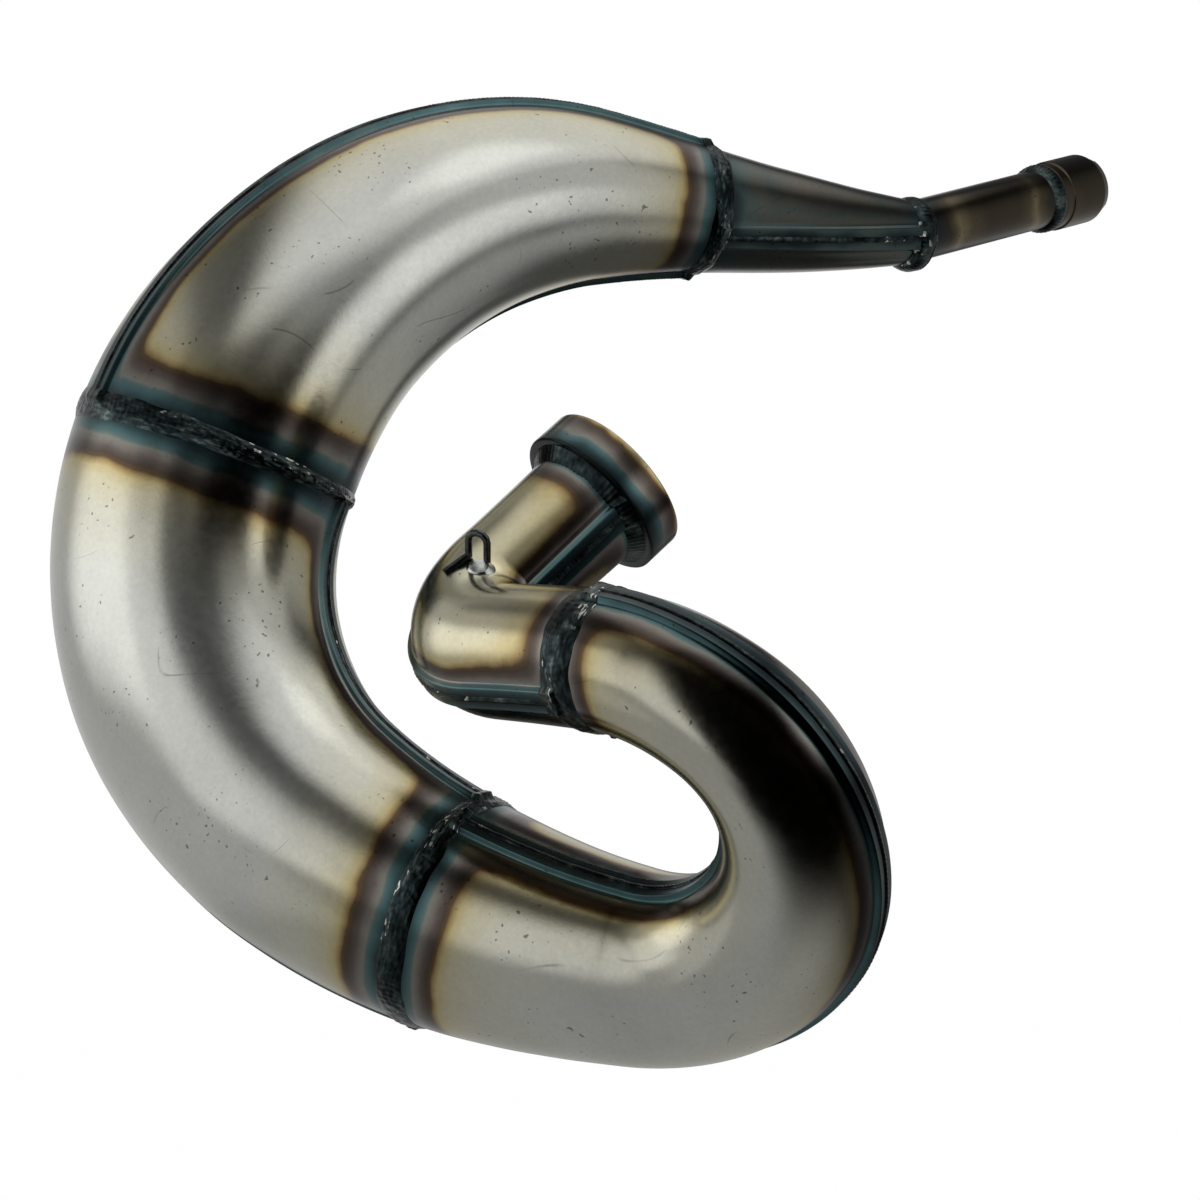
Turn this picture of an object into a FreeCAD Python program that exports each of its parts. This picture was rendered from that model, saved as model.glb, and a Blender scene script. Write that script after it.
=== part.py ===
"""Two-stroke exhaust pipe with an expansion chamber, welded up from pressed half shells.

Frame: origin at the centre of the header socket's mouth, +X to the rear of the bike,
+Y to its right-hand side, +Z up. Sizes are millimetres and degrees.
"""
import FreeCAD
import Part
import Sketcher
import math
import os

from FreeCAD import Placement, Rotation, Vector

os.makedirs("parts", exist_ok=True)
doc = FreeCAD.newDocument("exhaust_pipe")

# Driving dimensions

DIMENSIONS = (
    # How the header socket points, as the pipe leaves it
    ("header_heading", -151.5), ("header_pitch", -39.5), ("header_roll", -14.5),
    # Pressed sheet and the raised rims along its seams
    ("sheet_thickness", 1.2), ("rim_half_width", 6), ("rim_height", 2),
    ("cone_rim_height", 1.2), ("rim_chamfer", 0.8),
    # Weld beads
    ("seam_bead_width", 4), ("seam_bead_height", 0.8),
    ("ring_bead_width", 11), ("ring_bead_height", 2.6), ("ring_bead_root", 0.6),
    ("stinger_bead_width", 11), ("stinger_bead_height", 3), ("stinger_bead_drop", 1),
    ("socket_bead_leg", 5), ("collar_bead_width", 7), ("collar_bead_height", 2.6),
    # Header socket ring
    ("socket_length", 16.5), ("socket_radius", 34.25), ("socket_bore_radius", 27.5),
    ("socket_bore_depth", 11), ("socket_throat_radius", 25.3), ("socket_edge", 0.8),
    # Elbow
    ("elbow_length_1", 52), ("elbow_bend_1", -1.5),
    ("elbow_length_2", 57), ("elbow_bend_2", 105.5),
    ("elbow_length_3", 53), ("elbow_bend_3", -3),
    ("elbow_seam_start", 6), ("elbow_seam_end", -7),
    ("elbow_radius_1", 26.5), ("elbow_radius_2", 25.5), ("elbow_radius_3", 27),
    ("elbow_radius_4", 27.75),
    # Loop
    ("loop_roll", 264),
    ("loop_length_1", 57), ("loop_bend_1", 40.5),
    ("loop_length_2", 42), ("loop_bend_2", 48.5),
    ("loop_length_3", 153), ("loop_bend_3", 105), ("loop_turn_3", -14),
    ("loop_length_4", 84), ("loop_bend_4", 11.5), ("loop_turn_4", 25.5),
    ("loop_seam_start", -14), ("loop_seam_end", -9),
    ("loop_radius_2", 29.5), ("loop_radius_3", 34.5), ("loop_radius_4", 40.75),
    ("loop_radius_5", 49.5),
    # Belly
    ("belly_roll", 33.5),
    ("belly_length_1", 73), ("belly_bend_1", 13.5),
    ("belly_length_2", 78), ("belly_bend_2", 27.5),
    ("belly_length_3", 114), ("belly_bend_3", 47),
    ("belly_seam_start", -16), ("belly_seam_end", 8),
    ("belly_radius_2", 55.5), ("belly_radius_3", 61), ("belly_radius_4", 63),
    # Upper chamber
    ("upper_roll", 47),
    ("upper_length_1", 64), ("upper_bend_1", 20),
    ("upper_length_2", 162), ("upper_bend_2", 51),
    ("upper_length_3", 54), ("upper_bend_3", 4.5),
    ("upper_seam_start", 11), ("upper_seam_end", 5),
    ("upper_radius_2", 56.25), ("upper_radius_3", 44.5), ("upper_radius_4", 29.5),
    # Rear cone
    ("cone_roll", -42.5),
    ("cone_length_1", 47), ("cone_bend_1", -2.5),
    ("cone_length_2", 67), ("cone_bend_2", -6),
    ("cone_seam_start", -20), ("cone_seam_end", -37),
    ("cone_radius_2", 22.5), ("cone_radius_3", 15.25),
    # Stinger tube
    ("stinger_roll", -8), ("stinger_kink", -18.5), ("stinger_length", 97),
    ("stinger_radius", 14.5), ("stinger_wall", 1.6),
    # Collar at the outlet
    ("collar_gap", 3), ("collar_length", 33), ("collar_radius", 17.25), ("collar_bore_radius", 15),
    ("collar_overlap", 12), ("collar_step_length", 5), ("collar_step_depth", 0.7),
    ("collar_edge", 1.4), ("collar_taper", 4.5), ("collar_notch_radius", 4.5),
    ("collar_notch_depth", 4.2), ("collar_notch_count", 3), ("collar_clock", 41.5),
    # Spring hooks on the elbow
    ("hook_distance", 66), ("hook_clock", 66), ("hook_wire_radius", 1.5), ("hook_eye_half_width", 4),
    ("hook_eye_height", 13), ("hook_lean", -10), ("hook_foot_depth", 1),
    ("hook_leg_reach", 9), ("hook_leg_wrap", 24),
    ("hook_weld_radius", 6.5), ("hook_weld_crown_radius", 4), ("hook_weld_height", 1.8),
    ("hook_weld_depth", 1.2), ("hook_weld_along", 4.5), ("hook_weld_across", 2.5),
    # Mounting tabs
    ("tab_width", 26), ("tab_thickness", 3), ("tab_hole_height", 17), ("tab_hole_radius", 4.25),
    ("tab_sink", 1.2), ("tab_weld_length", 34), ("tab_weld_width", 12), ("tab_weld_height", 4),
    ("tab_weld_crown_width", 4), ("tab_weld_depth", 2),
    ("lower_tab_distance", 179.5), ("lower_tab_clock", 107),
    ("upper_tab_distance", 239.5), ("upper_tab_clock", 87),
)

ALIASES = {alias for alias, number in DIMENSIONS}

sheet = doc.addObject("Spreadsheet::Sheet", "dims")
for row, (alias, number) in enumerate(DIMENSIONS, start=1):
    sheet.set(f"A{row}", alias)
    sheet.set(f"B{row}", str(number))
    sheet.setAlias(f"B{row}", alias)
doc.recompute()


def dim(alias):
    """A driving dimension, as a plain number."""
    return float(sheet.get(alias))


# Centreline

class Frame:
    """A point on the centreline, the way the gas runs and the way to the inner seam."""

    def __init__(self, place, along, inner):
        self.place = place
        self.along = along
        self.inner = inner

    def side(self):
        return self.along.cross(self.inner)

    def rolled(self, angle):
        """The same point with its inner direction turned about the centreline."""
        return Frame(self.place, self.along, Rotation(self.along, angle).multVec(self.inner))

    def bent(self, length, bend, turn):
        """The frame at the end of one bend, whose inside lies at turn from the inner seam."""
        toward = Rotation(self.along, turn).multVec(self.inner)
        radius = length / math.radians(bend)
        angle = math.radians(bend)
        shift = self.along * (radius * math.sin(angle)) + toward * (radius * (1 - math.cos(angle)))
        swing = Rotation(self.along.cross(toward), bend)
        return Frame(self.place + shift, swing.multVec(self.along), swing.multVec(self.inner))

    def ahead(self, distance):
        return Frame(self.place + self.along * distance, self.along, self.inner)

    def dropped(self, distance):
        return Frame(self.place - Vector(0, 0, distance), self.along, self.inner)

    def kinked(self, angle):
        """The same point after a mitred turn toward the inner direction."""
        turn = Rotation(self.side(), angle)
        return Frame(self.place, turn.multVec(self.along), turn.multVec(self.inner))

    def axial_placement(self):
        """Local axes with Z along the tube and X toward the inner direction."""
        return Placement(self.place, Rotation(self.inner, self.side(), self.along, "ZXY"))

    def placement(self, clock, height):
        """Local axes on the tube's surface: X along the tube, Z outward at a clock angle."""
        outward = Rotation(self.along, clock).multVec(self.inner)
        across = outward.cross(self.along)
        rotation = Rotation(self.along, across, outward, "ZXY")
        return Placement(self.place + outward * height, rotation)


BENDS = {"elbow": 3, "loop": 4, "belly": 3, "upper": 3, "cone": 2}
RADIUS_POINTS = {"elbow": 4, "loop": 5, "belly": 4, "upper": 4, "cone": 3}
SECTIONS = tuple(BENDS)

# Profiles along a bend are set no further apart than this, in degrees and in millimetres
STATION_ANGLE = 10
STATION_LENGTH = 22

# A bead's shoulders, as shares of its half width and of its height
SHOULDER_OUT = 0.55
SHOULDER_UP = 0.8


def bend_of(section, number):
    turn = f"{section}_turn_{number}"
    return (
        dim(f"{section}_length_{number}"),
        dim(f"{section}_bend_{number}"),
        dim(turn) if turn in ALIASES else 0,
    )


def walk(section, start, travelled):
    """Frames along one pressed section, bend by bend, each with its distance from the socket."""
    bends = []
    for number in range(1, BENDS[section] + 1):
        length, bend, turn = bend_of(section, number)
        steps = max(2, round(abs(bend) / STATION_ANGLE), round(length / STATION_LENGTH))
        stations = [(travelled, start)]
        for step in range(1, steps + 1):
            share = step / steps
            stations.append((travelled + length * share, start.bent(length * share, bend * share, turn)))
        bends.append(stations)
        travelled, start = stations[-1]
    return bends


def header_frame():
    """The socket's mouth: the gas enters here."""
    heading = Rotation(Vector(0, 0, 1), dim("header_heading"))
    along = heading.multVec(Rotation(Vector(0, -1, 0), dim("header_pitch")).multVec(Vector(1, 0, 0)))
    level = Vector(0, 0, 1).cross(along).normalize()
    return Frame(Vector(0, 0, 0), along, Rotation(along, dim("header_roll")).multVec(level))


def lay_out_centreline():
    """Stations of every section, and the frame at each ring weld between them."""
    mouth = header_frame()
    frame = Frame(mouth.place + mouth.along * dim("socket_length"), mouth.along, mouth.inner)
    travelled = 0
    paths, joints = {}, {"socket": frame}
    for section in SECTIONS:
        if f"{section}_roll" in ALIASES:
            frame = frame.rolled(dim(f"{section}_roll"))
        paths[section] = walk(section, frame, travelled)
        travelled, frame = paths[section][-1][-1]
        joints[section] = frame
    return paths, joints


paths, joints = lay_out_centreline()


def ends_of(section):
    """Distances from the socket at which a section starts and ends."""
    return paths[section][0][0][0], paths[section][-1][-1][0]


# Tube radius: a monotone cubic through the stated radii

def radius_knots():
    """Distance and radius at equal parts of each section."""
    knots = []
    for section in SECTIONS:
        first, last = ends_of(section)
        count = RADIUS_POINTS[section]
        for point in range(1, count + 1):
            alias = f"{section}_radius_{point}"
            if alias in ALIASES:
                knots.append((first + (last - first) * (point - 1) / (count - 1), dim(alias)))
    return knots


def knot_slopes(knots):
    """Slopes that keep the curve between neighbouring radii."""
    gaps = [after[0] - before[0] for before, after in zip(knots, knots[1:])]
    grades = [(after[1] - before[1]) / gap for before, after, gap in zip(knots, knots[1:], gaps)]
    slopes = [grades[0]]
    for gap, next_gap, grade, next_grade in zip(gaps, gaps[1:], grades, grades[1:]):
        if grade * next_grade <= 0:
            slopes.append(0)
        else:
            first, second = 2 * next_gap + gap, next_gap + 2 * gap
            slopes.append((first + second) / (first / grade + second / next_grade))
    slopes.append(grades[-1])
    return slopes


knots = radius_knots()
slopes = knot_slopes(knots)


def tube_radius(distance):
    """Outer radius of the pressed tube at a distance from the socket."""
    index = max(number for number in range(len(knots) - 1) if knots[number][0] <= distance + 1e-9)
    (start, low), (end, high) = knots[index], knots[index + 1]
    gap = end - start
    share = (distance - start) / gap
    return (
        low * (1 + 2 * share) * (1 - share) ** 2
        + high * share ** 2 * (3 - 2 * share)
        + slopes[index] * gap * share * (1 - share) ** 2
        - slopes[index + 1] * gap * share ** 2 * (1 - share)
    )


def seam_stations(section):
    """Each station with its inner direction turned onto the seam, and its radius."""
    first, last = ends_of(section)
    start, end = dim(f"{section}_seam_start"), dim(f"{section}_seam_end")
    bends = []
    for stations in paths[section]:
        turned = []
        for distance, frame in stations:
            clock = start + (end - start) * (distance - first) / (last - first)
            turned.append((frame.rolled(clock), tube_radius(distance)))
        bends.append(turned)
    return bends


def rim_height_of(section):
    return dim("cone_rim_height") if section == "cone" else dim("rim_height")


# Pressed half shells

def arc(start, middle, end):
    return Part.Arc(start, middle, end).toShape()


def line(start, end):
    return Part.LineSegment(start, end).toShape()


def shell_profile(frame, radius, rim, hand):
    """One half of the wall: an arc between two raised rims that meet the other half."""
    wall, half, chamfer = dim("sheet_thickness"), dim("rim_half_width"), dim("rim_chamfer")
    across = frame.side() * hand

    def at(inward, sideways):
        return frame.place + frame.inner * inward + across * sideways

    def skin(skin_radius, width, top):
        foot = math.sqrt(skin_radius ** 2 - width ** 2)
        return (
            at(top, 0), at(top, width - chamfer), at(foot, width),
            at(0, skin_radius),
            at(-foot, width), at(-top, width - chamfer), at(-top, 0),
        )

    outer = skin(radius, half, radius + rim)
    inner = skin(radius - wall, half - wall, radius + rim - wall)
    return Part.Wire([
        line(outer[0], outer[1]), line(outer[1], outer[2]), arc(*outer[2:5]),
        line(outer[4], outer[5]), line(outer[5], outer[6]),
        line(outer[6], inner[6]),
        line(inner[6], inner[5]), line(inner[5], inner[4]), arc(*inner[4:1:-1]),
        line(inner[2], inner[1]), line(inner[1], inner[0]),
        line(inner[0], outer[0]),
    ])


def seam_profile(frame, radius, rim, way):
    """The weld bead that lies on the two rims where they meet."""
    half, top = dim("seam_bead_width") / 2, radius + rim
    crown, shoulder = top + dim("seam_bead_height"), half * SHOULDER_OUT
    corners = ((top, half), (top, -half), (crown, -shoulder), (crown, shoulder), (top, half))
    out, side = frame.inner * way, frame.side()
    return Part.makePolygon([frame.place + out * up + side * across for up, across in corners])


def welded_outline(frame, radius, rim):
    """The outside of both halves and their seam beads, as one closed outline."""
    half, chamfer, bead = dim("rim_half_width"), dim("rim_chamfer"), dim("seam_bead_width") / 2
    top, foot = radius + rim, math.sqrt(radius ** 2 - half ** 2)
    crown, shoulder = top + dim("seam_bead_height"), bead * SHOULDER_OUT
    edges = []
    for way in (1, -1):
        def at(inward, sideways):
            return frame.place + (frame.inner * inward + frame.side() * sideways) * way

        corners = [
            at(foot, -half), at(top, chamfer - half), at(top, -bead), at(crown, -shoulder),
            at(crown, shoulder), at(top, bead), at(top, half - chamfer), at(foot, half),
        ]
        edges += [line(start, end) for start, end in zip(corners, corners[1:])]
        edges.append(arc(at(foot, half), at(0, radius), at(-foot, half)))
    return Part.Wire(edges)


def add_shape(name, shape):
    feature = doc.addObject("Part::Feature", name)
    feature.Label = name
    feature.Shape = shape
    return feature


def add_loft(name, wires):
    """A solid skin through profiles set across the centreline."""
    sections = []
    for number, wire in enumerate(wires, start=1):
        sections.append(add_shape(f"{name}_profile_{number}", wire))
    loft = doc.addObject("Part::Loft", name)
    loft.Sections = sections
    loft.Solid = True
    loft.Ruled = False
    loft.MaxDegree = 3
    return loft


def add_pressing(name, section, profile):
    """One profile skinned along a section, bend by bend, and joined into one solid."""
    bends = []
    for number, stations in enumerate(seam_stations(section), start=1):
        wires = [profile(frame, radius) for frame, radius in stations]
        bends.append(add_loft(f"{name}_bend_{number}", wires))
    joined = doc.addObject("Part::MultiFuse", name)
    joined.Label = name
    joined.Shapes = bends
    return joined


HANDS = {
    "elbow": ("left", "right"), "loop": ("right", "left"), "belly": ("right", "left"),
    "upper": ("right", "left"), "cone": ("lower", "upper"),
}
SEAM_NAMES = {
    "elbow": ("inner", "outer"), "loop": ("inner", "outer"), "belly": ("inner", "outer"),
    "upper": ("inner", "outer"), "cone": ("left", "right"),
}

nodes = {}
cores = {}
for section in SECTIONS:
    rim = rim_height_of(section)
    for hand, word in zip((1, -1), HANDS[section]):
        name = f"{section}_{word}_half"
        nodes[name] = add_pressing(
            name, section, lambda frame, radius: shell_profile(frame, radius, rim, hand)
        )
    for way, word in zip((1, -1), SEAM_NAMES[section]):
        name = f"{section}_{word}_seam_weld"
        nodes[name] = add_pressing(
            name, section, lambda frame, radius: seam_profile(frame, radius, rim, way)
        )
    cores[section] = add_pressing(
        f"{section}_core", section, lambda frame, radius: welded_outline(frame, radius, rim)
    )
doc.recompute()


# Ring welds

def laid_against(blank, *parts):
    """What lies outside the parts: the largest solid left once they are cut away."""
    for part in parts:
        blank = blank.cut(part)
    return max(blank.Solids, key=lambda solid: solid.Volume)


def ring_of(frame, outline):
    """A ring turned about the centreline from the corners of its outline, as along, outward pairs."""
    corners = [frame.place + frame.along * along + frame.inner * outward for along, outward in outline]
    face = Part.Face(Part.makePolygon(corners + corners[:1]))
    return face.revolve(frame.place, frame.along, 360)


def bead_ring(frame, radius, width, height, root):
    """A weld bead round the tube, sunk by its root before it is cut to the walls."""
    half, low = width / 2, radius - root
    shoulder = low + (root + height) * SHOULDER_UP
    return ring_of(frame, (
        (-half, low), (-half * SHOULDER_OUT, shoulder), (0, radius + height),
        (half * SHOULDER_OUT, shoulder), (half, low),
    ))


for before, after in zip(SECTIONS, SECTIONS[1:]):
    name = f"{before}_{after}_ring_weld"
    radius = tube_radius(ends_of(after)[0])
    bead = bead_ring(
        joints[before], radius, dim("ring_bead_width"), dim("ring_bead_height"), dim("ring_bead_root")
    )
    nodes[name] = add_shape(name, laid_against(bead, cores[before].Shape, cores[after].Shape))


# Turned parts drawn as sketches

def value_of(text):
    """The number that a sum of aliases and numbers stands for."""
    total, sign = 0, 1
    for word in text.split():
        if word in "+-":
            sign = 1 if word == "+" else -1
        else:
            total += sign * (dim(word) if word in ALIASES else float(word))
    return total


def expression_of(text):
    return " ".join(f"dims.{word}" if word in ALIASES else word for word in text.split())


def plane_of(body, role):
    return next(item for item in body.Origin.OriginFeatures if item.Role == role)


def add_sketch(body, name, role):
    sketch = body.newObject("Sketcher::SketchObject", name)
    sketch.AttachmentSupport = [(plane_of(body, role), "")]
    sketch.MapMode = "FlatFace"
    return sketch


def fix(sketch, kind, geometry, point, text, label):
    """Hold one coordinate of a sketch point at a sum of driving dimensions."""
    index = sketch.addConstraint(Sketcher.Constraint(kind, -1, 1, geometry, point, value_of(text)))
    sketch.renameConstraint(index, label)
    sketch.setExpression(f"Constraints.{label}", expression_of(text))


def add_outline(body, name, corners):
    """A closed outline of straight lines, each corner a pair of sums across and along the axis."""
    sketch = add_sketch(body, name, "XZ_Plane")
    points = [Vector(value_of(across), value_of(along), 0) for across, along in corners]
    for start, end in zip(points, points[1:] + points[:1]):
        sketch.addGeometry(Part.LineSegment(start, end), False)
    count = len(corners)
    for number, (across, along) in enumerate(corners):
        sketch.addConstraint(Sketcher.Constraint("Coincident", number, 1, (number - 1) % count, 2))
        fix(sketch, "DistanceX", number, 1, across, f"across_{number}")
        if along == "0":
            sketch.addConstraint(Sketcher.Constraint("PointOnObject", number, 1, -1))
        else:
            fix(sketch, "DistanceY", number, 1, along, f"along_{number}")
    return sketch


def add_turned_body(name, corners, placement):
    """A ring turned about its own Z axis."""
    body = doc.addObject("PartDesign::Body", name)
    body.Label = name
    sketch = add_outline(body, f"{name}_outline", corners)
    turned = body.newObject("PartDesign::Revolution", f"{name}_turned")
    turned.Profile = sketch
    turned.ReferenceAxis = (sketch, ["V_Axis"])
    turned.Angle = 360
    body.Placement = placement
    doc.recompute()
    return body


mouth = header_frame()
nodes["header_socket_ring"] = add_turned_body(
    "header_socket_ring",
    (
        ("socket_bore_radius", "0"),
        ("socket_radius - socket_edge", "0"),
        ("socket_radius", "socket_edge"),
        ("socket_radius", "socket_length - socket_edge"),
        ("socket_radius - socket_edge", "socket_length"),
        ("socket_throat_radius", "socket_length"),
        ("socket_throat_radius", "socket_bore_depth"),
        ("socket_bore_radius", "socket_bore_depth"),
    ),
    mouth.axial_placement(),
)

# Weld between the socket ring's back face and the elbow
radius, leg = dim("elbow_radius_1"), dim("socket_bead_leg")
root = radius - dim("ring_bead_root")
fillet = ring_of(joints["socket"], (
    (0, radius + leg), (leg * SHOULDER_OUT, radius + leg * SHOULDER_OUT), (leg, root), (0, root),
))
nodes["header_socket_weld"] = add_shape("header_socket_weld", laid_against(fillet, cores["elbow"].Shape))

# Stinger tube, cut off square with the cone's end

cone_end = joints["cone"]
turned_end = cone_end.rolled(dim("stinger_roll"))
stinger_start = turned_end.kinked(dim("stinger_kink"))
stinger_end = stinger_start.ahead(dim("stinger_length"))


def add_cylinder(name, radius, height, placement):
    cylinder = doc.addObject("Part::Cylinder", name)
    cylinder.setExpression("Radius", expression_of(radius))
    cylinder.setExpression("Height", expression_of(height))
    cylinder.Placement = placement
    return cylinder


def add_cut(name, base, tool):
    cut = doc.addObject("Part::Cut", name)
    cut.Label = name
    cut.Base = base
    cut.Tool = tool
    return cut


TUBE_REACH = "stinger_length + collar_gap + collar_overlap + stinger_radius"
tube_start = stinger_start.ahead(-dim("stinger_radius")).axial_placement()
stinger_skin = add_cylinder("stinger_skin", "stinger_radius", TUBE_REACH, tube_start)
stinger_bore = add_cylinder("stinger_bore", "stinger_radius - stinger_wall", TUBE_REACH, tube_start)
stinger_pipe = add_cut("stinger_pipe", stinger_skin, stinger_bore)
behind = add_cylinder(
    "behind_cone_end", TUBE_REACH, TUBE_REACH, cone_end.ahead(-value_of(TUBE_REACH)).axial_placement()
)
nodes["stinger_tube"] = add_cut("stinger_tube", stinger_pipe, behind)
doc.recompute()

# Heavy bead where the cone meets the stinger
root = dim("cone_radius_3") - dim("stinger_radius") + dim("stinger_wall") + dim("stinger_bead_drop")
bulge = bead_ring(
    cone_end.dropped(dim("stinger_bead_drop")), dim("cone_radius_3"),
    dim("stinger_bead_width"), dim("stinger_bead_height"), root,
)
nodes["cone_stinger_weld"] = add_shape(
    "cone_stinger_weld", laid_against(bulge, cores["cone"].Shape, nodes["stinger_tube"].Shape)
)

# Collar round the stinger's open end

collar_start = stinger_end.ahead(dim("collar_gap")).rolled(dim("collar_clock"))
collar = add_turned_body(
    "end_collar",
    (
        ("stinger_radius", "0"),
        ("collar_radius - collar_step_depth", "0"),
        ("collar_radius - collar_step_depth", "collar_step_length"),
        ("collar_radius", "collar_step_length + collar_step_depth"),
        ("collar_radius", "collar_length - collar_taper"),
        ("collar_radius - collar_edge", "collar_length"),
        ("collar_bore_radius", "collar_length"),
        ("collar_bore_radius", "collar_overlap"),
        ("stinger_radius", "collar_overlap"),
    ),
    collar_start.axial_placement(),
)

notch_sketch = add_sketch(collar, "end_collar_notch_outline", "XZ_Plane")
notch_height = "collar_length - collar_notch_depth + collar_notch_radius"
notch_sketch.addGeometry(
    Part.Circle(Vector(0, value_of(notch_height), 0), Vector(0, 0, 1), dim("collar_notch_radius")), False
)
notch_sketch.addConstraint(Sketcher.Constraint("PointOnObject", 0, 3, -2))
fix(notch_sketch, "DistanceY", 0, 3, notch_height, "height")
index = notch_sketch.addConstraint(Sketcher.Constraint("Radius", 0, dim("collar_notch_radius")))
notch_sketch.renameConstraint(index, "radius")
notch_sketch.setExpression("Constraints.radius", "dims.collar_notch_radius")
before_notches = collar.Shape.Volume
notch = collar.newObject("PartDesign::Pocket", "end_collar_notch")
notch.Profile = notch_sketch
notch.setExpression("Length", "dims.collar_radius * 2")
doc.recompute()
notches = collar.newObject("PartDesign::PolarPattern", "end_collar_notches")
notches.Originals = [notch]
notches.Axis = (plane_of(collar, "Z_Axis"), [""])
notches.Angle = 360
notches.setExpression("Occurrences", "dims.collar_notch_count")
collar.Tip = notches
doc.recompute()
if before_notches - collar.Shape.Volume < dim("collar_notch_count") * dim("collar_notch_depth"):
    raise ValueError("the collar's notches cut nothing")
nodes["end_collar"] = collar

# Bead that joins the collar's edge to the stinger
half = dim("collar_bead_width") / 2
root = dim("stinger_radius") - dim("ring_bead_root")
ridge = ring_of(stinger_end.ahead(dim("collar_gap") - half), (
    (-half, root), (-half * SHOULDER_OUT, dim("stinger_radius") + dim("collar_bead_height") * SHOULDER_OUT),
    (0, dim("stinger_radius") + dim("collar_bead_height")),
    (half, dim("collar_radius") - dim("collar_step_depth")), (half, root),
))
nodes["collar_weld"] = add_shape(
    "collar_weld", laid_against(ridge, nodes["stinger_tube"].Shape, collar.Shape)
)


# Spring hooks: bent wire with an eye and a leg that lies along the elbow

# Straight runs that make the half turn of an eye, and how the wire's runs meet
EYE_STEPS = 6
MITRED = 1


def frame_at(section, distance):
    """The frame this far along a pressed section."""
    frame = paths[section][0][0][1]
    for number in range(1, BENDS[section] + 1):
        length, bend, turn = bend_of(section, number)
        if distance <= length:
            return frame.bent(distance, bend * distance / length, turn)
        frame = frame.bent(length, bend, turn)
        distance -= length
    return frame


def add_hook(side_word, clock):
    """One hook and its weld, at a clock angle round the elbow."""
    radius = tube_radius(dim("hook_distance"))
    placement = frame_at("elbow", dim("hook_distance")).placement(clock, radius)
    half, wire_radius = dim("hook_eye_half_width"), dim("hook_wire_radius")
    lean = math.tan(math.radians(dim("hook_lean")))
    top = dim("hook_eye_height") - half

    def at(along, across, out):
        return Vector(along + out * lean, across, out)

    turns = [math.radians(180 * step / EYE_STEPS) for step in range(EYE_STEPS + 1)]
    eye = [at(0, half * math.cos(turn), top + half * math.sin(turn)) for turn in turns]
    wrap = math.radians(dim("hook_leg_wrap"))
    rest = radius + wire_radius / 2
    leg_end = at(dim("hook_leg_reach"), -rest * math.sin(wrap), rest * math.cos(wrap) - radius)
    points = [at(0, half, -dim("hook_foot_depth")), *eye, at(0, -half, wire_radius), leg_end]
    profile = Part.Wire(Part.makeCircle(wire_radius, points[0], points[1] - points[0]))
    wire = Part.makePolygon(points).makePipeShell([profile], True, False, MITRED)
    wire.Placement = placement
    name = f"spring_hook_{side_word}"
    nodes[name] = add_shape(name, laid_against(wire, cores["elbow"].Shape))
    pool = doc.addObject("Part::Cone", f"{name}_pool")
    pool.setExpression("Radius1", "dims.hook_weld_radius")
    pool.setExpression("Radius2", "dims.hook_weld_crown_radius")
    pool.setExpression("Height", "dims.hook_weld_depth + dims.hook_weld_height")
    pool_place = Vector(dim("hook_weld_along"), dim("hook_weld_across"), -dim("hook_weld_depth"))
    pool.Placement = placement.multiply(Placement(pool_place, Rotation()))
    doc.recompute()
    weld = laid_against(pool.Shape, wire, cores["elbow"].Shape)
    nodes[f"{name}_weld"] = add_shape(f"{name}_weld", weld)


add_hook("left", dim("hook_clock"))
add_hook("right", dim("hook_clock") + 180)


# Mounting tabs on the side next to the frame

def add_tab(word, section):
    """A bolt lug that stands on the chamber, and the weld along both sides of its foot."""
    distance = dim(f"{word}_tab_distance")
    radius = tube_radius(ends_of(section)[0] + distance)
    placement = frame_at(section, distance).placement(dim(f"{word}_tab_clock"), radius)
    name = f"{word}_mounting_tab"

    def placed(along, across, out, turn=Rotation()):
        return placement.multiply(Placement(Vector(along, across, out), turn))

    def drum(label, drum_radius):
        level = Rotation(Vector(1, 0, 0), 90)
        place = placed(0, dim("tab_thickness") / 2, dim("tab_hole_height"), level)
        return add_cylinder(f"{name}_{label}", drum_radius, "tab_thickness", place)

    plate = doc.addObject("Part::Box", f"{name}_plate")
    plate.setExpression("Length", "dims.tab_width")
    plate.setExpression("Width", "dims.tab_thickness")
    plate.setExpression("Height", "dims.tab_hole_height + dims.tab_sink")
    plate.Placement = placed(-dim("tab_width") / 2, -dim("tab_thickness") / 2, -dim("tab_sink"))
    outline = doc.addObject("Part::Fuse", f"{name}_outline")
    outline.Base = plate
    outline.Tool = drum("end", "tab_width / 2")
    blank = add_cut(f"{name}_blank", outline, drum("hole", "tab_hole_radius"))
    pool = doc.addObject("Part::Wedge", f"{word}_tab_weld_pool")
    for side, sign in (("min", -1), ("max", 1)):
        pool.setExpression(f"X{side}", f"dims.tab_weld_length * {sign / 2}")
        pool.setExpression(f"X2{side}", f"(dims.tab_width + dims.tab_weld_crown_width) * {sign / 2}")
        pool.setExpression(f"Z{side}", f"dims.tab_weld_width * {sign / 2}")
        pool.setExpression(f"Z2{side}", f"dims.tab_weld_crown_width * {sign / 2}")
    pool.setExpression("Ymin", "-dims.tab_weld_depth")
    pool.setExpression("Ymax", "dims.tab_weld_height")
    pool.Placement = placed(0, 0, 0, Rotation(Vector(1, 0, 0), 90))
    doc.recompute()
    nodes[name] = add_shape(name, laid_against(blank.Shape, cores[section].Shape))
    weld = laid_against(pool.Shape, blank.Shape, cores[section].Shape)
    nodes[f"{word}_tab_weld"] = add_shape(f"{word}_tab_weld", weld)


add_tab("lower", "belly")
add_tab("upper", "upper")


# Checks and export

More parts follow.
